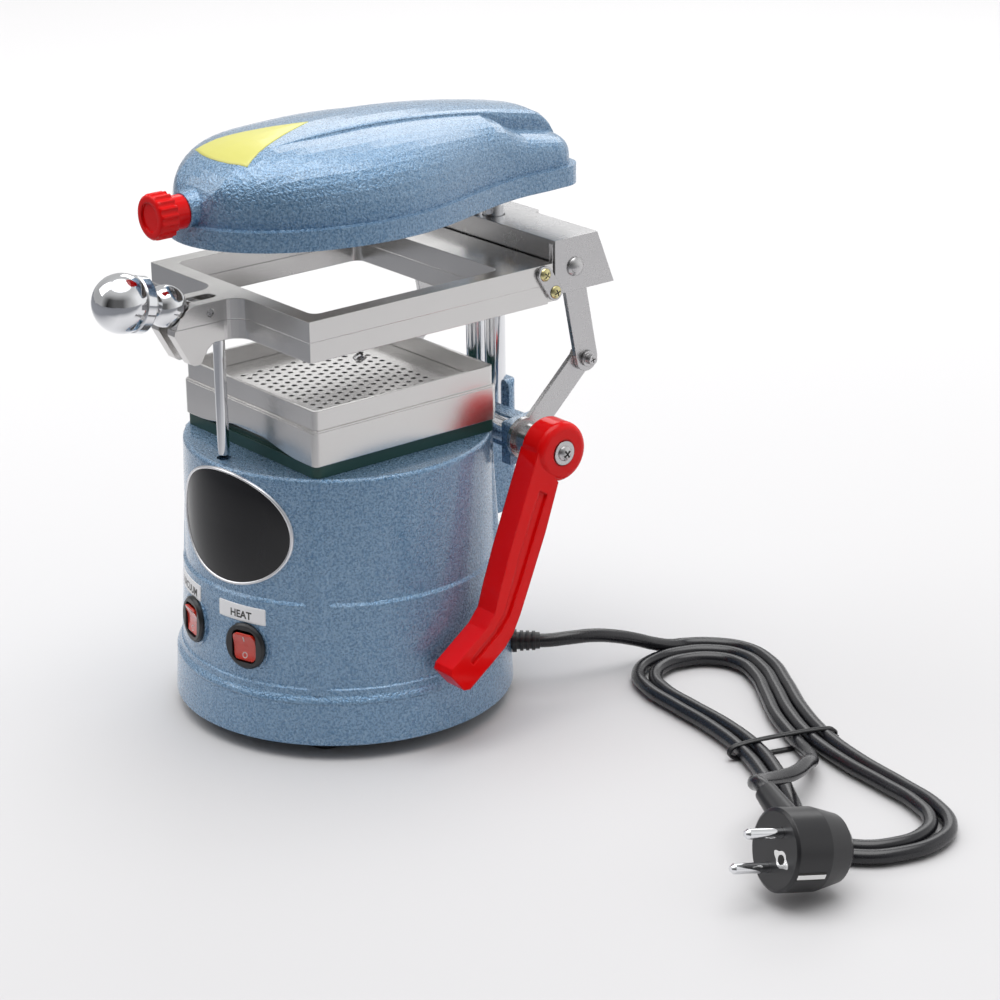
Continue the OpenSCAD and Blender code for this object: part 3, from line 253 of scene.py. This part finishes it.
nickel = metal("satin_nickel", (0.70, 0.69, 0.68), 0.22, 0.10)
plated = metal("plated_sheet", (0.56, 0.555, 0.56), 0.24, 0.10)
chrome = metal("chrome", (0.84, 0.85, 0.87), 0.07, 0.03, depth=0.000004)
zinc = metal("yellow_zinc", (0.73, 0.66, 0.34), 0.24, 0.10)
bronze = metal("bronze", (0.62, 0.46, 0.24), 0.34, 0.10)
dark_steel = metal("dark_steel", (0.20, 0.20, 0.21), 0.42, 0.12)
sheath = metal("rod_sheath", (0.34, 0.30, 0.27), 0.5, 0.2)

# %% [markdown]
# Each metal solid now gets its finish. The small fasteners are plated like the sheet, the bearings
# are bronze, and the sheathed rod of the heater has the brown of steel that has been hot.

# %% Metal pieces
dress(nickel, "chamber_tray", "perforated_plate", "lower_frame", "upper_frame")
dress(plated, "carriage", "crank_links", "upper_links", "hinge_links", "lever_spacer", "carriage_pins",
      "link_pins", "plate_screw", "lever_screw", "foot_screws", "reflector_screws", "latch_pin",
      "latch_bolt", "heater_reflector")
dress(chrome, "head_column", "guide_column", "guide_rod", "lever_shaft", "ball_knob", "latch_hub",
      "plug_pins")
dress(zinc, "hinge_screws")
dress(bronze, "carriage_bushes", "head_bush")
dress(dark_steel, "base_plate", "vacuum_motor")
dress(sheath, "heating_element")

# %% [markdown]
# ## Plastics and rubber
# Moulded plastic is never one flat colour: the surface waves a little and has a fine texture from
# the tool. The red lever is glossy, the switch bezels and the plug are satin black, the gasket is a
# green rubber sheet.

# %% Plastics
wave_scale, wave_shade = 30, 0.86


def moulded(name, colour, rough, coat=0.0, texture=260, depth=0.00004, edges=0.0006, subsurface=0.0,
            shine=0.5):
    finish = Finish(name, Coat_Weight=coat, Coat_Roughness=0.06, Subsurface_Weight=subsurface,
                    Subsurface_Radius=(0.004, 0.001, 0.0006), Specular_IOR_Level=shine)
    at = finish.where()
    fine = finish.noise(at, texture, 3.0, 0.6)
    wave = finish.noise(at, wave_scale, 2.0)
    finish.set("Base Color", finish.mix(wave, tuple(wave_shade * c for c in colour), colour))
    finish.set("Roughness", (rough - 0.04) + 0.08 * fine)
    finish.bump(fine, depth, 0.4, round_edges=edges)
    return finish


red = moulded("lever_red", (0.80, 0.003, 0.004), 0.16, coat=0.35, texture=120, edges=0.0014, shine=0.05)
rocker_red = moulded("rocker_red", (0.60, 0.03, 0.012), 0.12, coat=0.6, subsurface=0.3)
black = moulded("moulded_black", (0.012, 0.012, 0.014), 0.32)
rubber = moulded("black_rubber", (0.014, 0.014, 0.014), 0.6, texture=500, depth=0.0001)
gasket_green = moulded("green_rubber", (0.006, 0.055, 0.045), 0.4, texture=420, depth=0.0001)
cord_black = moulded("cord_sheath", (0.010, 0.010, 0.013), 0.27, coat=0.15, texture=180, edges=0.0)

# %% [markdown]
# The plastic and rubber solids are dressed by the same function. The solids of the cord and its tie
# get a finish too, although the drawn cord further down takes their place.

# %% Plastic pieces
dress(red, "lever_handle", "head_knob")
dress(rocker_red, "heat_rocker", "vacuum_rocker")
dress(black, "heat_switch_body", "vacuum_switch_body", "strain_relief", "plug_body", "cord_tie")
dress(rubber, "rubber_feet", "motor_seal")
dress(gasket_green, "chamber_gasket")
dress(cord_black, "power_cord", "cord_hank", "plug_lead")

# %% [markdown]
# ## The mains cord
# A cord is one length of something bendy. It leaves its strain relief level and sinks to the table,
# goes a little over twice round a slim hank drawn in by a tie, and climbs over the runs to the plug.
# It could be simulated, but a hank is laid by hand, so its route is written down: the same points
# as the CAD solids, joined by one smooth curve with a round bevel. We start with the free run.

# %% The free run of the cord
cord_d = 0.007
rest_z = 0.0043
gland_angle = math.radians(39)
gland_start, gland_length, gland_z = 0.0839, 0.008, 0.025

gland_dir = Vector((math.sin(gland_angle), math.cos(gland_angle), 0))
cord_exit = gland_dir * (gland_start + gland_length) + Vector((0, 0, gland_z))
free_run = [cord_exit, cord_exit + gland_dir * 0.010] + [Vector(point) for point in (
    (0.0695, 0.090, 0.0252), (0.0725, 0.102, 0.024), (0.0745, 0.115, 0.0205), (0.076, 0.128, 0.0155),
    (0.0766, 0.140, 0.010), (0.0772, 0.151, 0.006), (0.078, 0.160, 0.0044))]
print("cord leaves the housing at", [round(v, 4) for v in cord_exit])

# %% [markdown]
# The hank is a long oval, drawn in at its waist and swelling towards its ends. Each turn lies inside
# the last, so its length, its waist and its swelling shrink a little per turn.

# %% The hank
hank_mid, hank_heading = Vector((0.196, 0.114, 0)), math.radians(-18)
half_length, length_loss = 0.126, 0.009
half_waist, waist_loss = 0.026, 0.008
swelling, swelling_loss = 0.058, 0.005
first_degree, steps_a_turn, hank_steps = 165, 24, 54


def on_hank(along, across, height):
    return Vector((hank_mid.x + along * math.cos(hank_heading) - across * math.sin(hank_heading),
                   hank_mid.y + along * math.sin(hank_heading) + across * math.cos(hank_heading), height))


def hank_point(i):
    turns = i / steps_a_turn
    angle = math.radians(first_degree - 360 / steps_a_turn * i)
    half_width = half_waist - waist_loss * turns
    half_width += (swelling - swelling_loss * turns) * math.cos(angle) ** 2
    along = (half_length - length_loss * turns) * math.cos(angle)
    return on_hank(along, half_width * math.sin(angle), rest_z)


hank = [hank_point(i) for i in range(hank_steps)]
print("turns of the hank:", hank_steps / steps_a_turn)

# %% [markdown]
# The plug lies tipped on the table, so its place is a point and three turns. The last stretch of the
# cord climbs over the runs of the hank and enters the plug's own relief along the axis of that.

# %% The lead and the whole route
plug_at = Vector((0.305, 0.024, 0.0214))
plug_heading, plug_dip, plug_roll = (math.radians(angle) for angle in (258, -12, -15))
relief_length, overlap = 0.040, 0.006

plug_axes = (Matrix.Rotation(plug_heading, 3, "Z") @ Matrix.Rotation(plug_dip, 3, "Y")
             @ Matrix.Rotation(plug_roll, 3, "X"))
relief = plug_axes @ Vector((0, -1, 0))
relief_end = plug_at + relief * relief_length
lead = [on_hank(*point) for point in (
    (0.026, 0.003, 0.0075), (0.040, -0.007, 0.013), (0.052, -0.019, 0.016),
    (0.061, -0.033, 0.020), (0.070, -0.045, 0.025), (0.080, -0.053, 0.030))]
lead += [relief_end + relief * overlap, relief_end - relief * overlap]
route = free_run + hank + lead
print("points in the route:", len(route))

# %% [markdown]
# A Bezier curve with automatic handles passes through every point and rounds the way between them,
# which is just what a stiff cord does.

# %% Cord curve
def round_curve(name, points, radius, sides=6, resolution=6):
    curve = bpy.data.curves.new(name, "CURVE")
    curve.dimensions = "3D"
    curve.bevel_depth = radius
    curve.bevel_resolution = sides
    curve.resolution_u = resolution
    curve.use_fill_caps = True
    spline = curve.splines.new("BEZIER")
    spline.bezier_points.add(len(points) - 1)
    for knot, point in zip(spline.bezier_points, points):
        knot.co = point
        knot.handle_left_type = knot.handle_right_type = "AUTO"
    obj = bpy.data.objects.new(name, curve)
    bpy.context.scene.collection.objects.link(obj)
    return obj


def length_of(obj):
    shape = obj.copy()
    shape.data = obj.data.copy()
    shape.data.bevel_depth = 0
    bpy.context.scene.collection.objects.link(shape)
    mesh = shape.evaluated_get(bpy.context.evaluated_depsgraph_get()).to_mesh()
    ends = [[mesh.vertices[v].co for v in edge.vertices] for edge in mesh.edges]
    total = sum((a - b).length for a, b in ends)
    bpy.data.objects.remove(shape)
    return total


cord = round_curve("mains_cord", route, cord_d / 2)
cord.data.materials.append(cord_black.material)
cord_length = length_of(cord)
print("cord length", round(cord_length, 3), "m")

# %% [markdown]
# The tie is a thin plastic-coated wire wound twice round the waist of the hank, so it replaces the
# plain band of the CAD model. Powers below 1 of a sine and a cosine square its loops off, so that
# they lie flat over the runs and on the table.

# %% Tie
tie_turns, steps_a_loop, wire_r = 2, 16, 0.0008
tie_along, tie_across, tie_lowest = -0.0022, 0.0014, 0.0009
tie_half_width, tie_half_height, tie_pitch = 0.0285, 0.0041, 0.0032


def squared(value, power):
    return math.copysign(abs(value) ** power, value)


tie_points = []
for k in range(tie_turns * steps_a_loop + 1):
    turn = 2 * math.pi * k / steps_a_loop
    along = tie_along + tie_pitch * k / (tie_turns * steps_a_loop)
    across = tie_across + tie_half_width * squared(math.cos(turn), 0.7)
    height = rest_z + tie_half_height * squared(math.sin(turn), 0.6)
    tie_points.append(on_hank(along, across, max(height, tie_lowest)))
tie = round_curve("wire_tie", tie_points, wire_r, sides=3, resolution=4)
tie.data.materials.append(black.material)
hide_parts("cord_tie")
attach(tie, "base")
print("turns of the tie:", tie_turns)

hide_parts("power_cord", "cord_hank", "plug_lead")
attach(cord, "base")

# %% [markdown]
# ## Plates that follow a surface
# A badge or a label is a thin thing laid on a curved wall. A flat plate would stand off at its
# edges, so each is drawn flat, as rings of one outline from its middle outwards, and every point is
# then put on the surface by a function. A shrinkwrap modifier would do the same less exactly.

# %% The wall of the housing
lower_r, lower_z, lower_lean = 0.0799, 0.0351, math.atan2(0.0044, 0.1047)
upper_r, upper_z, upper_slope = 0.07686, 0.0785, 0.0225
band_z = 0.0775


def wall_radius(z):
    if z < band_z:
        return lower_r - math.tan(lower_lean) * (z - lower_z)
    return upper_r - upper_slope * (z - upper_z)


def on_wall(degrees, height):
    def place(u, v, out):
        radius = wall_radius(height + v) + out
        turn = math.radians(degrees) + u / wall_radius(height)
        return Vector((radius * math.sin(turn), -radius * math.cos(turn), height + v))
    return place


print("radius of the wall at the band:", round(wall_radius(band_z), 4))

# %% [markdown]
# Every piece that this script adds is a mesh made from points and faces. One function makes the
# object, says which body of the machine it rides on and which kind of material it has.

# %% Adding a piece
def add_piece(name, points, faces, finish, slot, body="base", smooth=True):
    mesh = bpy.data.meshes.new(name)
    mesh.from_pydata([tuple(point) for point in points], [], faces)
    mesh.materials.append(finish.material)
    if smooth:
        mesh.shade_smooth()
    else:
        mesh.shade_flat()
    mesh.update()
    obj = bpy.data.objects.new(name, mesh)
    bpy.context.scene.collection.objects.link(obj)
    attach(obj, body)
    return obj


def quads_between(a, b, n):
    """Quads between two closed rings of n points, which start at a and at b."""
    return [(a + i, b + i, b + (i + 1) % n, a + (i + 1) % n) for i in range(n)]


def round_angles(n):
    return [2 * math.pi * i / n for i in range(n)]

# %% [markdown]
# A draped plate is its outline drawn at several shares of its size, each share with its own height
# above the wall, so that a plate can be domed or have a rolled rim.

# %% Draped plates
def draped(name, outline, rings, place, finish, slot, body="base"):
    n = len(outline)
    middle = Vector((sum(u for u, v in outline) / n, sum(v for u, v in outline) / n))
    points = [place(*middle, rings[0][1])]
    for share, out in rings:
        points += [place(middle.x + share * (u - middle.x), middle.y + share * (v - middle.y), out)
                   for u, v in outline]
    faces = [(0, 1 + i, 1 + (i + 1) % n) for i in range(n)]
    for k in range(len(rings) - 1):
        faces += quads_between(1 + k * n, 1 + (k + 1) * n, n)
    return add_piece(name, points, faces, finish, slot, body)


def ellipse(half_width, half_height, n=96):
    return [(half_width * math.cos(turn), half_height * math.sin(turn)) for turn in round_angles(n)]


def plate_outline(width, height, r=0.0006, corner_steps=4, side_steps=14):
    """A rectangle with round corners, with points along its sides so that it can bend."""
    x, y = width / 2 - r, height / 2 - r
    corners = [(x, y), (-x, y), (-x, -y), (x, -y)]
    points = []
    for k, (x, y) in enumerate(corners):
        arc = [math.pi / 2 * (k + i / corner_steps) for i in range(corner_steps + 1)]
        points += [(x + r * math.cos(turn), y + r * math.sin(turn)) for turn in arc]
        next_x, next_y = corners[(k + 1) % 4]
        from_x, from_y = points[-1]
        to_x, to_y = next_x + r * math.cos(arc[-1]), next_y + r * math.sin(arc[-1])
        points += [(from_x + (to_x - from_x) * i / side_steps, from_y + (to_y - from_y) * i / side_steps)
                   for i in range(1, side_steps)]
    return points

# %% [markdown]
# ## The painted ledge
# The wall meets the base ring in a sloping ledge that catches the light from above. In the solids
# the slope is steeper, so a thin painted ring fills it out. It could be a curve with a Screw
# modifier, but a few lines that turn a profile about the axis of the housing do the same.

# %% Ledge
def turned(name, profile, finish, slot, n=160):
    points = [(r * math.cos(turn), r * math.sin(turn), z) for r, z in profile for turn in round_angles(n)]
    m = len(profile)
    faces = [quad for k in range(m) for quad in quads_between((k + 1) % m * n, k * n, n)]
    return add_piece(name, points, faces, finish, slot)


ledge_profile = [(0.0834, 0.0286), (0.08342, 0.0295), (0.0832, 0.0303), (0.0823, 0.0314),
                 (0.08125, 0.0326), (0.0809, 0.0342), (0.0806, 0.0342), (0.0806, 0.0286)]
turned("painted_ledge", ledge_profile, hammer, "hammer_blue")
print("top of the ledge at", max(z for r, z in ledge_profile), "m")

# %% [markdown]
# ## Badge, label plates and decal
# The oval badge is left bare: a domed black face in a bright rim. The two label plates say in plain
# words what their switches do, and the decal on the head is plain yellow.

# %% Badge
badge_black = Finish("badge_black", Coat_Weight=0.6, Coat_Roughness=0.03, Specular_IOR_Level=0.05)
sweep = badge_black.noise(badge_black.where(), 26, 2.0)
badge_black.set("Base Color", badge_black.mix(sweep, (0.006, 0.006, 0.007), (0.014, 0.014, 0.016)))
badge_black.set("Roughness", 0.10 + 0.10 * badge_black.noise(badge_black.where(), 160, 3.0))
rim_silver = metal("badge_rim", (0.80, 0.80, 0.82), 0.30, 0.08, edges=0.0002)

badge_place = on_wall(8, 0.1103)
face_half, rim_half = (0.0375, 0.0270), (0.0391, 0.0286)
dome_height, dome_fall = 0.0012, 0.0005
shares = [i / 10 for i in range(1, 11)]
face_rings = [(share, dome_height - dome_fall * share ** 4) for share in shares]
rim_rings = [(share, 0.0003) for share in shares[:8]]
rim_rings += [(0.94, 0.0003), (0.957, 0.0009), (0.97, 0.0012), (0.985, 0.0011), (0.997, 0.0006),
              (1.0, -0.0002)]
draped("badge_face", ellipse(*face_half), face_rings, badge_place, badge_black, "black_plastic")
draped("badge_rim", ellipse(*rim_half), rim_rings, badge_place, rim_silver, "chrome")
print("badge", [2 * half for half in rim_half], "m")

# %% [markdown]
# The words on the plates are Blender's own text, which is flat. Its mesh is taken once, and each of
# its points goes on the wall by the same function as the plate's.

# %% Label plates
white_plate = moulded("white_plate", (0.90, 0.90, 0.92), 0.35, texture=700, depth=0.00001, edges=0.0001)
print_black = moulded("print_black", (0.02, 0.02, 0.02), 0.5, texture=900, depth=0.00001, edges=0.0)
plate_width, plate_height, letter_height, letter_drop = 0.0284, 0.0082, 0.0052, 0.0008
plate_out, print_out = 0.0004, 0.00042


def lettering(name, words, place):
    text = bpy.data.curves.new(name, "FONT")
    text.body = words
    text.size = letter_height
    text.align_x = text.align_y = "CENTER"
    text.resolution_u = 3
    text.offset = 0.00014
    flat = bpy.data.objects.new(name + "_flat", text)
    bpy.context.scene.collection.objects.link(flat)
    mesh = flat.evaluated_get(bpy.context.evaluated_depsgraph_get()).to_mesh()
    points = [place(v.co.x, v.co.y - letter_drop, print_out) for v in mesh.vertices]
    faces = [tuple(face.vertices) for face in mesh.polygons]
    bpy.data.objects.remove(flat)
    return add_piece(name, points, faces, print_black, "black_plastic")


plate_rings = [(share, plate_out) for share in (0.25, 0.5, 0.75, 0.97)] + [(1.0, 0.0003), (1.0, -0.0002)]
for label, words, degrees, height in (("heat", "HEAT", 15.7, 0.0690), ("vacuum", "VACUUM", -17.0, 0.0696)):
    place = on_wall(degrees, height)
    draped("plate_" + label, plate_outline(plate_width, plate_height), plate_rings, place, white_plate,
           "black_plastic")
    lettering("words_" + label, words, place)
    print("plate", label, "at", degrees, "degrees")

# %% [markdown]
# The decal lies on the nose of the head. A ray dropped on the casting gives the height of each of
# its points, which is simpler than repeating the formula of the dome.

# %% Decal
decal_yellow = moulded("decal_yellow", (0.70, 0.67, 0.16), 0.34, coat=0.2, texture=90, edges=0.0001)
head_x, above_head, below_head = 0.0075, 0.35, 0.26
fan_r, fan_y, fan_half_angle = 0.054, -0.0165, 23
arc_steps, side_steps, ring_count = 24, 16, 12

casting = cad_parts["head_casting"]
into_casting = casting.matrix_world.inverted()
downwards = (into_casting.to_3x3() @ Vector((0, 0, -1))).normalized()


def on_head(u, v, out):
    start = into_casting @ Vector((head_x + u, v, above_head))
    hit, point, normal, face = casting.ray_cast(start, downwards)
    if not hit:
        return Vector((head_x + u, v, below_head))
    return casting.matrix_world @ (point + normal * out)


degrees_a_step = 2 * fan_half_angle / arc_steps
angles = [math.radians(degrees_a_step * i - fan_half_angle) for i in range(arc_steps + 1)]
arc = [(fan_r * math.sin(angle), fan_y - fan_r * math.cos(angle)) for angle in angles]
corner_u, corner_v = arc[-1]
edge = [(corner_u * (1 - i / side_steps), corner_v + (fan_y - corner_v) * i / side_steps)
        for i in range(1, side_steps + 1)]
fan = arc + edge + [(-u, v) for u, v in reversed(edge[:-1])]
fan_rings = [(i / ring_count, 0.00025) for i in range(1, ring_count)] + [(0.99, 0.00025), (1.0, -0.0001)]
draped("head_decal", fan, fan_rings, on_head, decal_yellow, "red_plastic", "head")
print("decal reaches", fan_r, "m from its point")

# %% [markdown]
# ## Screw recesses
# The pan heads have crossed slots. They could be cut with a Boolean, but the solids from CAD stay as
# they are, so each slot is a thin dark cross, painted shade for the recess, sunk into the top of the
# head along the screw's axis.

# %% Crossed slots
# painted shade: this near-black finish stands in for the shade inside slots, the earth socket and grooves
painted_recess_shade = moulded("slot_shadow", (0.015, 0.014, 0.012), 0.6, texture=600, edges=0.0)
slot_depth, slot_out = 0.0006, 0.00004
square = ((-1, -1), (1, -1), (1, 1), (-1, 1))
box_faces = ((4, 5, 6, 7), (0, 1, 5, 4), (1, 2, 6, 5), (2, 3, 7, 6), (3, 0, 4, 7), (3, 2, 1, 0))


def cross(name, centre, axis, size, body, twist, width=0.0005):
    turn = Vector(axis).to_track_quat("Z", "Y").to_matrix() @ Matrix.Rotation(math.radians(twist), 3, "Z")
    points, faces = [], []
    for half_x, half_y in ((size / 2, width / 2), (width / 2, size / 2)):
        first = len(points)
        points += [Vector(centre) + turn @ Vector((x * half_x, y * half_y, z))
                   for z in (-slot_depth, slot_out) for x, y in square]
        faces += [tuple(first + i for i in face) for face in box_faces]
    return add_piece(name, points, faces, painted_recess_shade, "black_plastic", body, smooth=False)


shaft_yz, knee_yz = (0.06995, 0.1336), (0.10666, 0.16754)
lower_hinge_yz, upper_hinge_yz = (0.0832, 0.2068), (0.0769, 0.2166)
sides = ((1, "r"), (-1, "l"))
for side, letter in sides:
    cross("cross_lower_" + letter, (side * 0.0686, *lower_hinge_yz), (side, 0, 0), 0.0034, "carriage", 20)
    cross("cross_upper_" + letter, (side * 0.0684, *upper_hinge_yz), (side, 0, 0), 0.0034, "upper_frame", 50)
    cross("slot_knee_" + letter, (side * 0.0673, *knee_yz), (side, 0, 0), 0.0030, "lever", 15)
cross("cross_lever", (0.0909, *shaft_yz), (1, 0, 0), 0.0042, "lever", 35, 0.0008)
cross("cross_plate", (-0.0196, 0.0288, 0.1663), (0, 0, 1), 0.0038, "base", 10, 0.0007)
print("crossed slots:", 3 * len(sides) + 2)

# %% [markdown]
# The four hinge screws are yellow zinc, but in the solids the heads of the upper two are one piece
# with the plated links. A thin yellow dome, part of a ball like the head itself, covers each of them.

# %% Yellow screw heads
ball_r, head_r, ball_sunk = 0.00425, 0.00325, 0.0026
dome_rows, dome_sides = 7, 32


def dome(name, centre, axis, finish, slot, body):
    turn = Vector(axis).to_track_quat("Z", "Y").to_matrix()
    radii = [head_r * (1 - k / dome_rows) for k in range(dome_rows + 1)]
    profile = [(head_r, 0.0)] + [(r, math.sqrt(ball_r ** 2 - r ** 2) - ball_sunk) for r in radii]
    points = [Vector(centre) + turn @ Vector((r * math.cos(angle), r * math.sin(angle), z))
              for r, z in profile for angle in round_angles(dome_sides)]
    faces = [quad for k in range(len(profile) - 1)
             for quad in quads_between((k + 1) * dome_sides, k * dome_sides, dome_sides)]
    return add_piece(name, points, faces, finish, slot, body)


for side, letter in sides:
    dome("upper_screw_" + letter, (side * 0.0668, *upper_hinge_yz), (side, 0, 0), zinc, "yellow_zinc",
         "upper_frame")
print("yellow heads:", 2 * head_r, "m across")

# %% [markdown]
# ## Marks on the rockers
# The rockers carry the usual bar and ring, printed in white. Each mark is placed in the rocker's
# own frame: turned to the wall, tipped as the rocker is tipped, and laid on its hollow face.

# %% Rocker marks
mark_white = moulded("mark_white", (0.75, 0.70, 0.68), 0.4, texture=700, depth=0.00001, edges=0.0)
rocker_tip, trunnion_depth = math.radians(7), 0.0014
hollow_r, hollow_z = 0.0191, 0.0205
ring_sides, ring_radii, ring_v = 24, (0.0011, 0.0015), -0.0042
bar_half, bar_low, bar_high = 0.0003, 0.0030, 0.0056
mark_out = 0.00005


def on_rocker(degrees, height):
    at_wall = (Matrix.Rotation(math.radians(degrees), 4, "Z")
               @ Matrix.Translation((0, -wall_radius(height), height))
               @ Matrix.Rotation(math.pi / 2 - lower_lean, 4, "X"))
    tipped = at_wall @ Matrix.Translation((0, 0, -trunnion_depth)) @ Matrix.Rotation(rocker_tip, 4, "X")

    def place(u, v):
        face_z = hollow_z - math.sqrt(hollow_r ** 2 - v ** 2) + trunnion_depth
        return tipped @ Vector((u, v, face_z + mark_out))
    return place


for body, degrees, height in (("heat_rocker", 18, 0.053), ("vacuum_rocker", -11.5, 0.0545)):
    place = on_rocker(degrees, height)
    ring = [place(r * math.cos(angle), ring_v + r * math.sin(angle))
            for r in ring_radii for angle in round_angles(ring_sides)]
    bar = [place(u, v) for u, v in ((-bar_half, bar_low), (bar_half, bar_low),
                                    (bar_half, bar_high), (-bar_half, bar_high))]
    ring_faces = quads_between(ring_sides, 0, ring_sides)
    add_piece("ring_" + body, ring, ring_faces, mark_white, "black_plastic", body)
    add_piece("bar_" + body, bar, [(0, 1, 2, 3)], mark_white, "black_plastic", body)
    print("marks on", body)

# %% [markdown]
# ## Earth contacts of the plug
# The plug has a socket for an earth pin in its face and a sprung strip on each side. The socket is a
# dark inlay, painted shade for its hole. The contacts are thin metal, so they lie just proud of the
# moulding.

# %% Plug contacts
contact = metal("earth_contact", (0.85, 0.85, 0.84), 0.22, 0.06, edges=0.0)
socket_y, socket_r, frame_half, frame_pinch = 0.0065, 0.0022, (0.0062, 0.0040), 0.25
patch_depth = 0.0008


def at_plug(x, y, z):
    return plug_at + plug_axes @ Vector((x, y, z))


def inlay(name, top, low, finish, slot):
    """A flat top of any outline, with sides down to the same outline below it."""
    n = len(top)
    faces = [tuple(range(n))] + quads_between(0, n, n)
    return add_piece(name, top + low, faces, finish, slot, smooth=False)


def face_inlay(name, outline, out, finish, slot):
    top, low = ([at_plug(x, y, z) for y, z in outline] for x in (out, out - patch_depth))
    return inlay(name, top, low, finish, slot)


def frame_point(angle):
    pinch = 1 - frame_pinch * math.sin(2 * angle) ** 2
    return socket_y + frame_half[0] * math.cos(angle) * pinch, frame_half[1] * math.sin(angle) * pinch


socket_outline = [(socket_y + socket_r * math.cos(a), socket_r * math.sin(a)) for a in round_angles(24)]
face_inlay("earth_frame", [frame_point(a) for a in round_angles(40)], 0.0182, contact, "chrome")
# painted shade: a dark inlay in place of the shade inside the earth socket
face_inlay("earth_socket", socket_outline, 0.0184, painted_recess_shade, "black_plastic")
print("earth socket", 2 * socket_r, "m across")

# %% [markdown]
# The strips at the sides lie in grooves, so each is two inlays: a wide dark one, painted shade for the
# groove, and a narrow bright one that stands a little higher.

# %% Side strips
plug_side, groove_floor, strip_start, strip_end = 0.0185, 0.0178, 0.002, 0.0166
# painted shade: the wide dark inlay stands in for the shade in each groove
strips = (("groove", 0.0021, 0.0001, painted_recess_shade, "black_plastic"),
          ("strip", 0.0012, 0.0003, contact, "chrome"))
for side, word in ((1, "near"), (-1, "far")):
    for what, half, out, finish, slot in strips:
        outline = ((strip_start, -half), (strip_end, -half), (strip_end, half), (strip_start, half))
        top, low = ([at_plug(x, side * y, z) for x, z in outline] for y in (plug_side + out, groove_floor))
        inlay("earth_" + what + "_" + word, top, low, finish, slot)
print("side strips", strip_end - strip_start, "m long")

# %% [markdown]
# ## The studio
# The whole picture is one pale sweep of paper, with painted shade on it: a little darker towards the
# camera. Its colour is graded along the floor in place of light falling off, because a lamp near the
# object would make it fall off the other way. At the left of the machine and in front of it, outside
# the picture, the floor is painted dark, as painted shade of an unlit room: bright metal needs
# something dark to mirror.

# %% Floor
floor_half, floor_z = 8, -0.0001
near_paper_painted_shade, far_paper_painted_light, grain_paper = (0.545, 0.54, 0.55), (0.635, 0.63, 0.635), (0.60, 0.595, 0.60)
unlit_floor_shade = (0.16, 0.165, 0.18)
picture_edge, picture_slope, near_distance, picture_near = 0.03, 0.1667, 1.40, -0.34


def floor_plane():
    mesh = bpy.data.meshes.new("floor")
    corners = [(x * floor_half, y * floor_half, floor_z) for x, y in square]
    mesh.from_pydata(corners, [], [(0, 1, 2, 3)])
    obj = bpy.data.objects.new("floor", mesh)
    bpy.context.scene.collection.objects.link(obj)
    return obj


floor = floor_plane()
paper = Finish("paper_floor", Roughness=0.8)
easting, northing = paper.parts(paper.where())[:2]
depth = northing * math.cos(azimuth) - easting * math.sin(azimuth)
across = easting * math.cos(azimuth) + northing * math.sin(azimuth)
# painted shade: the paper darkens towards the camera, standing in for light that falls off there
far = paper.ramp((depth * 0.5 + 0.35).clamp(), 0.0, 0.75)
pale = paper.mix(far, near_paper_painted_shade, far_paper_painted_light)
pale = paper.mix(paper.noise(paper.where(), 3) * 0.05, pale, grain_paper)
# painted shade: outside the picture the floor is dark, standing in for an unlit room that the metal mirrors
at_left = (across + picture_slope * (depth + near_distance)).short_of(picture_edge, 3)
in_front = depth.short_of(picture_near, 3)
paper.set("Base Color", paper.mix((at_left + in_front).clamp(), pale, unlit_floor_shade))
floor.data.materials.append(paper.material)
print("floor", 2 * floor_half, "m square")

# %% [markdown]
# Metal shows its surroundings, so the world has a shape. It could be a photograph of a studio, but a
# few masks made from the direction say the same: grey walls, darker on the camera's side, where the
# photographer stands, and a bright patch overhead, as of a light tent. The camera itself sees only
# a plain pale grey.

# %% World
seen_grey, sky_strength = (0.95, 0.95, 0.955, 1), 4.0
wall_light, right_light, left_shade, front_shade = 0.14, 0.10, 0.03, 0.11
roof_light, cap_light, cap_height = 0.15, 0.85, 0.84

world = bpy.data.worlds.new("studio")
bpy.context.scene.world = world
world.use_nodes = True
sky = Network(world.node_tree)
sky_light = sky.tree.nodes["Background"]
east, north, height = sky.parts(sky.node("TexCoord", out="Generated"))
toward = east * math.sin(azimuth) - north * math.cos(azimuth)
sideways = east * math.cos(azimuth) + north * math.sin(azimuth)
low = 1 - height.past(0.45, 3)
cap = height.past(cap_height, 12)
front = toward.past(0.25, 2.5)
right_side = sideways.past(0.20, 2.0)
left_side = sideways.short_of(-0.35, 2.0)
walls = wall_light + right_light * right_side - left_shade * left_side - front_shade * front
light = walls * low + (1 - low) * (roof_light + cap_light * cap)
sky.feed(sky_light.inputs["Color"], sky.node("CombineColor", i0=light, i1=light, i2=light))
sky.feed(sky_light.inputs["Strength"], sky_strength)
is_seen = sky.node("LightPath", out="Is Camera Ray")
seen = sky.node("Background", Color=seen_grey)
shown = sky.node("MixShader", i0=is_seen, i1=Sock(sky, sky_light.outputs[0]), i2=seen)
sky.feed(sky.tree.nodes["World Output"].inputs["Surface"], shown)
print("world of", len(sky.tree.nodes), "nodes")

# %% [markdown]
# Two soft boxes add direction to the tent: a large one high in front gives the housing its lit side,
# and one behind draws bright lines along the upper edges. Area lamps are used because their size
# sets how soft a shadow is.

# %% Lamps
def soft_box(name, at, aim, size, watts):
    lamp = bpy.data.lights.new(name, "AREA")
    lamp.shape = "RECTANGLE"
    lamp.size, lamp.size_y = size
    lamp.energy = watts
    obj = bpy.data.objects.new(name, lamp)
    obj.location = at
    obj.rotation_euler = (Vector(aim) - Vector(at)).to_track_quat("-Z", "Y").to_euler()
    bpy.context.scene.collection.objects.link(obj)
    print(name, watts, "W")


machine_middle = (0.06, 0.03, 0.14)
soft_box("key", (-1.1, -1.0, 1.5), machine_middle, (1.2, 1.2), 9)
soft_box("back", (-0.9, 1.3, 1.2), machine_middle, (1.4, 0.8), 7)
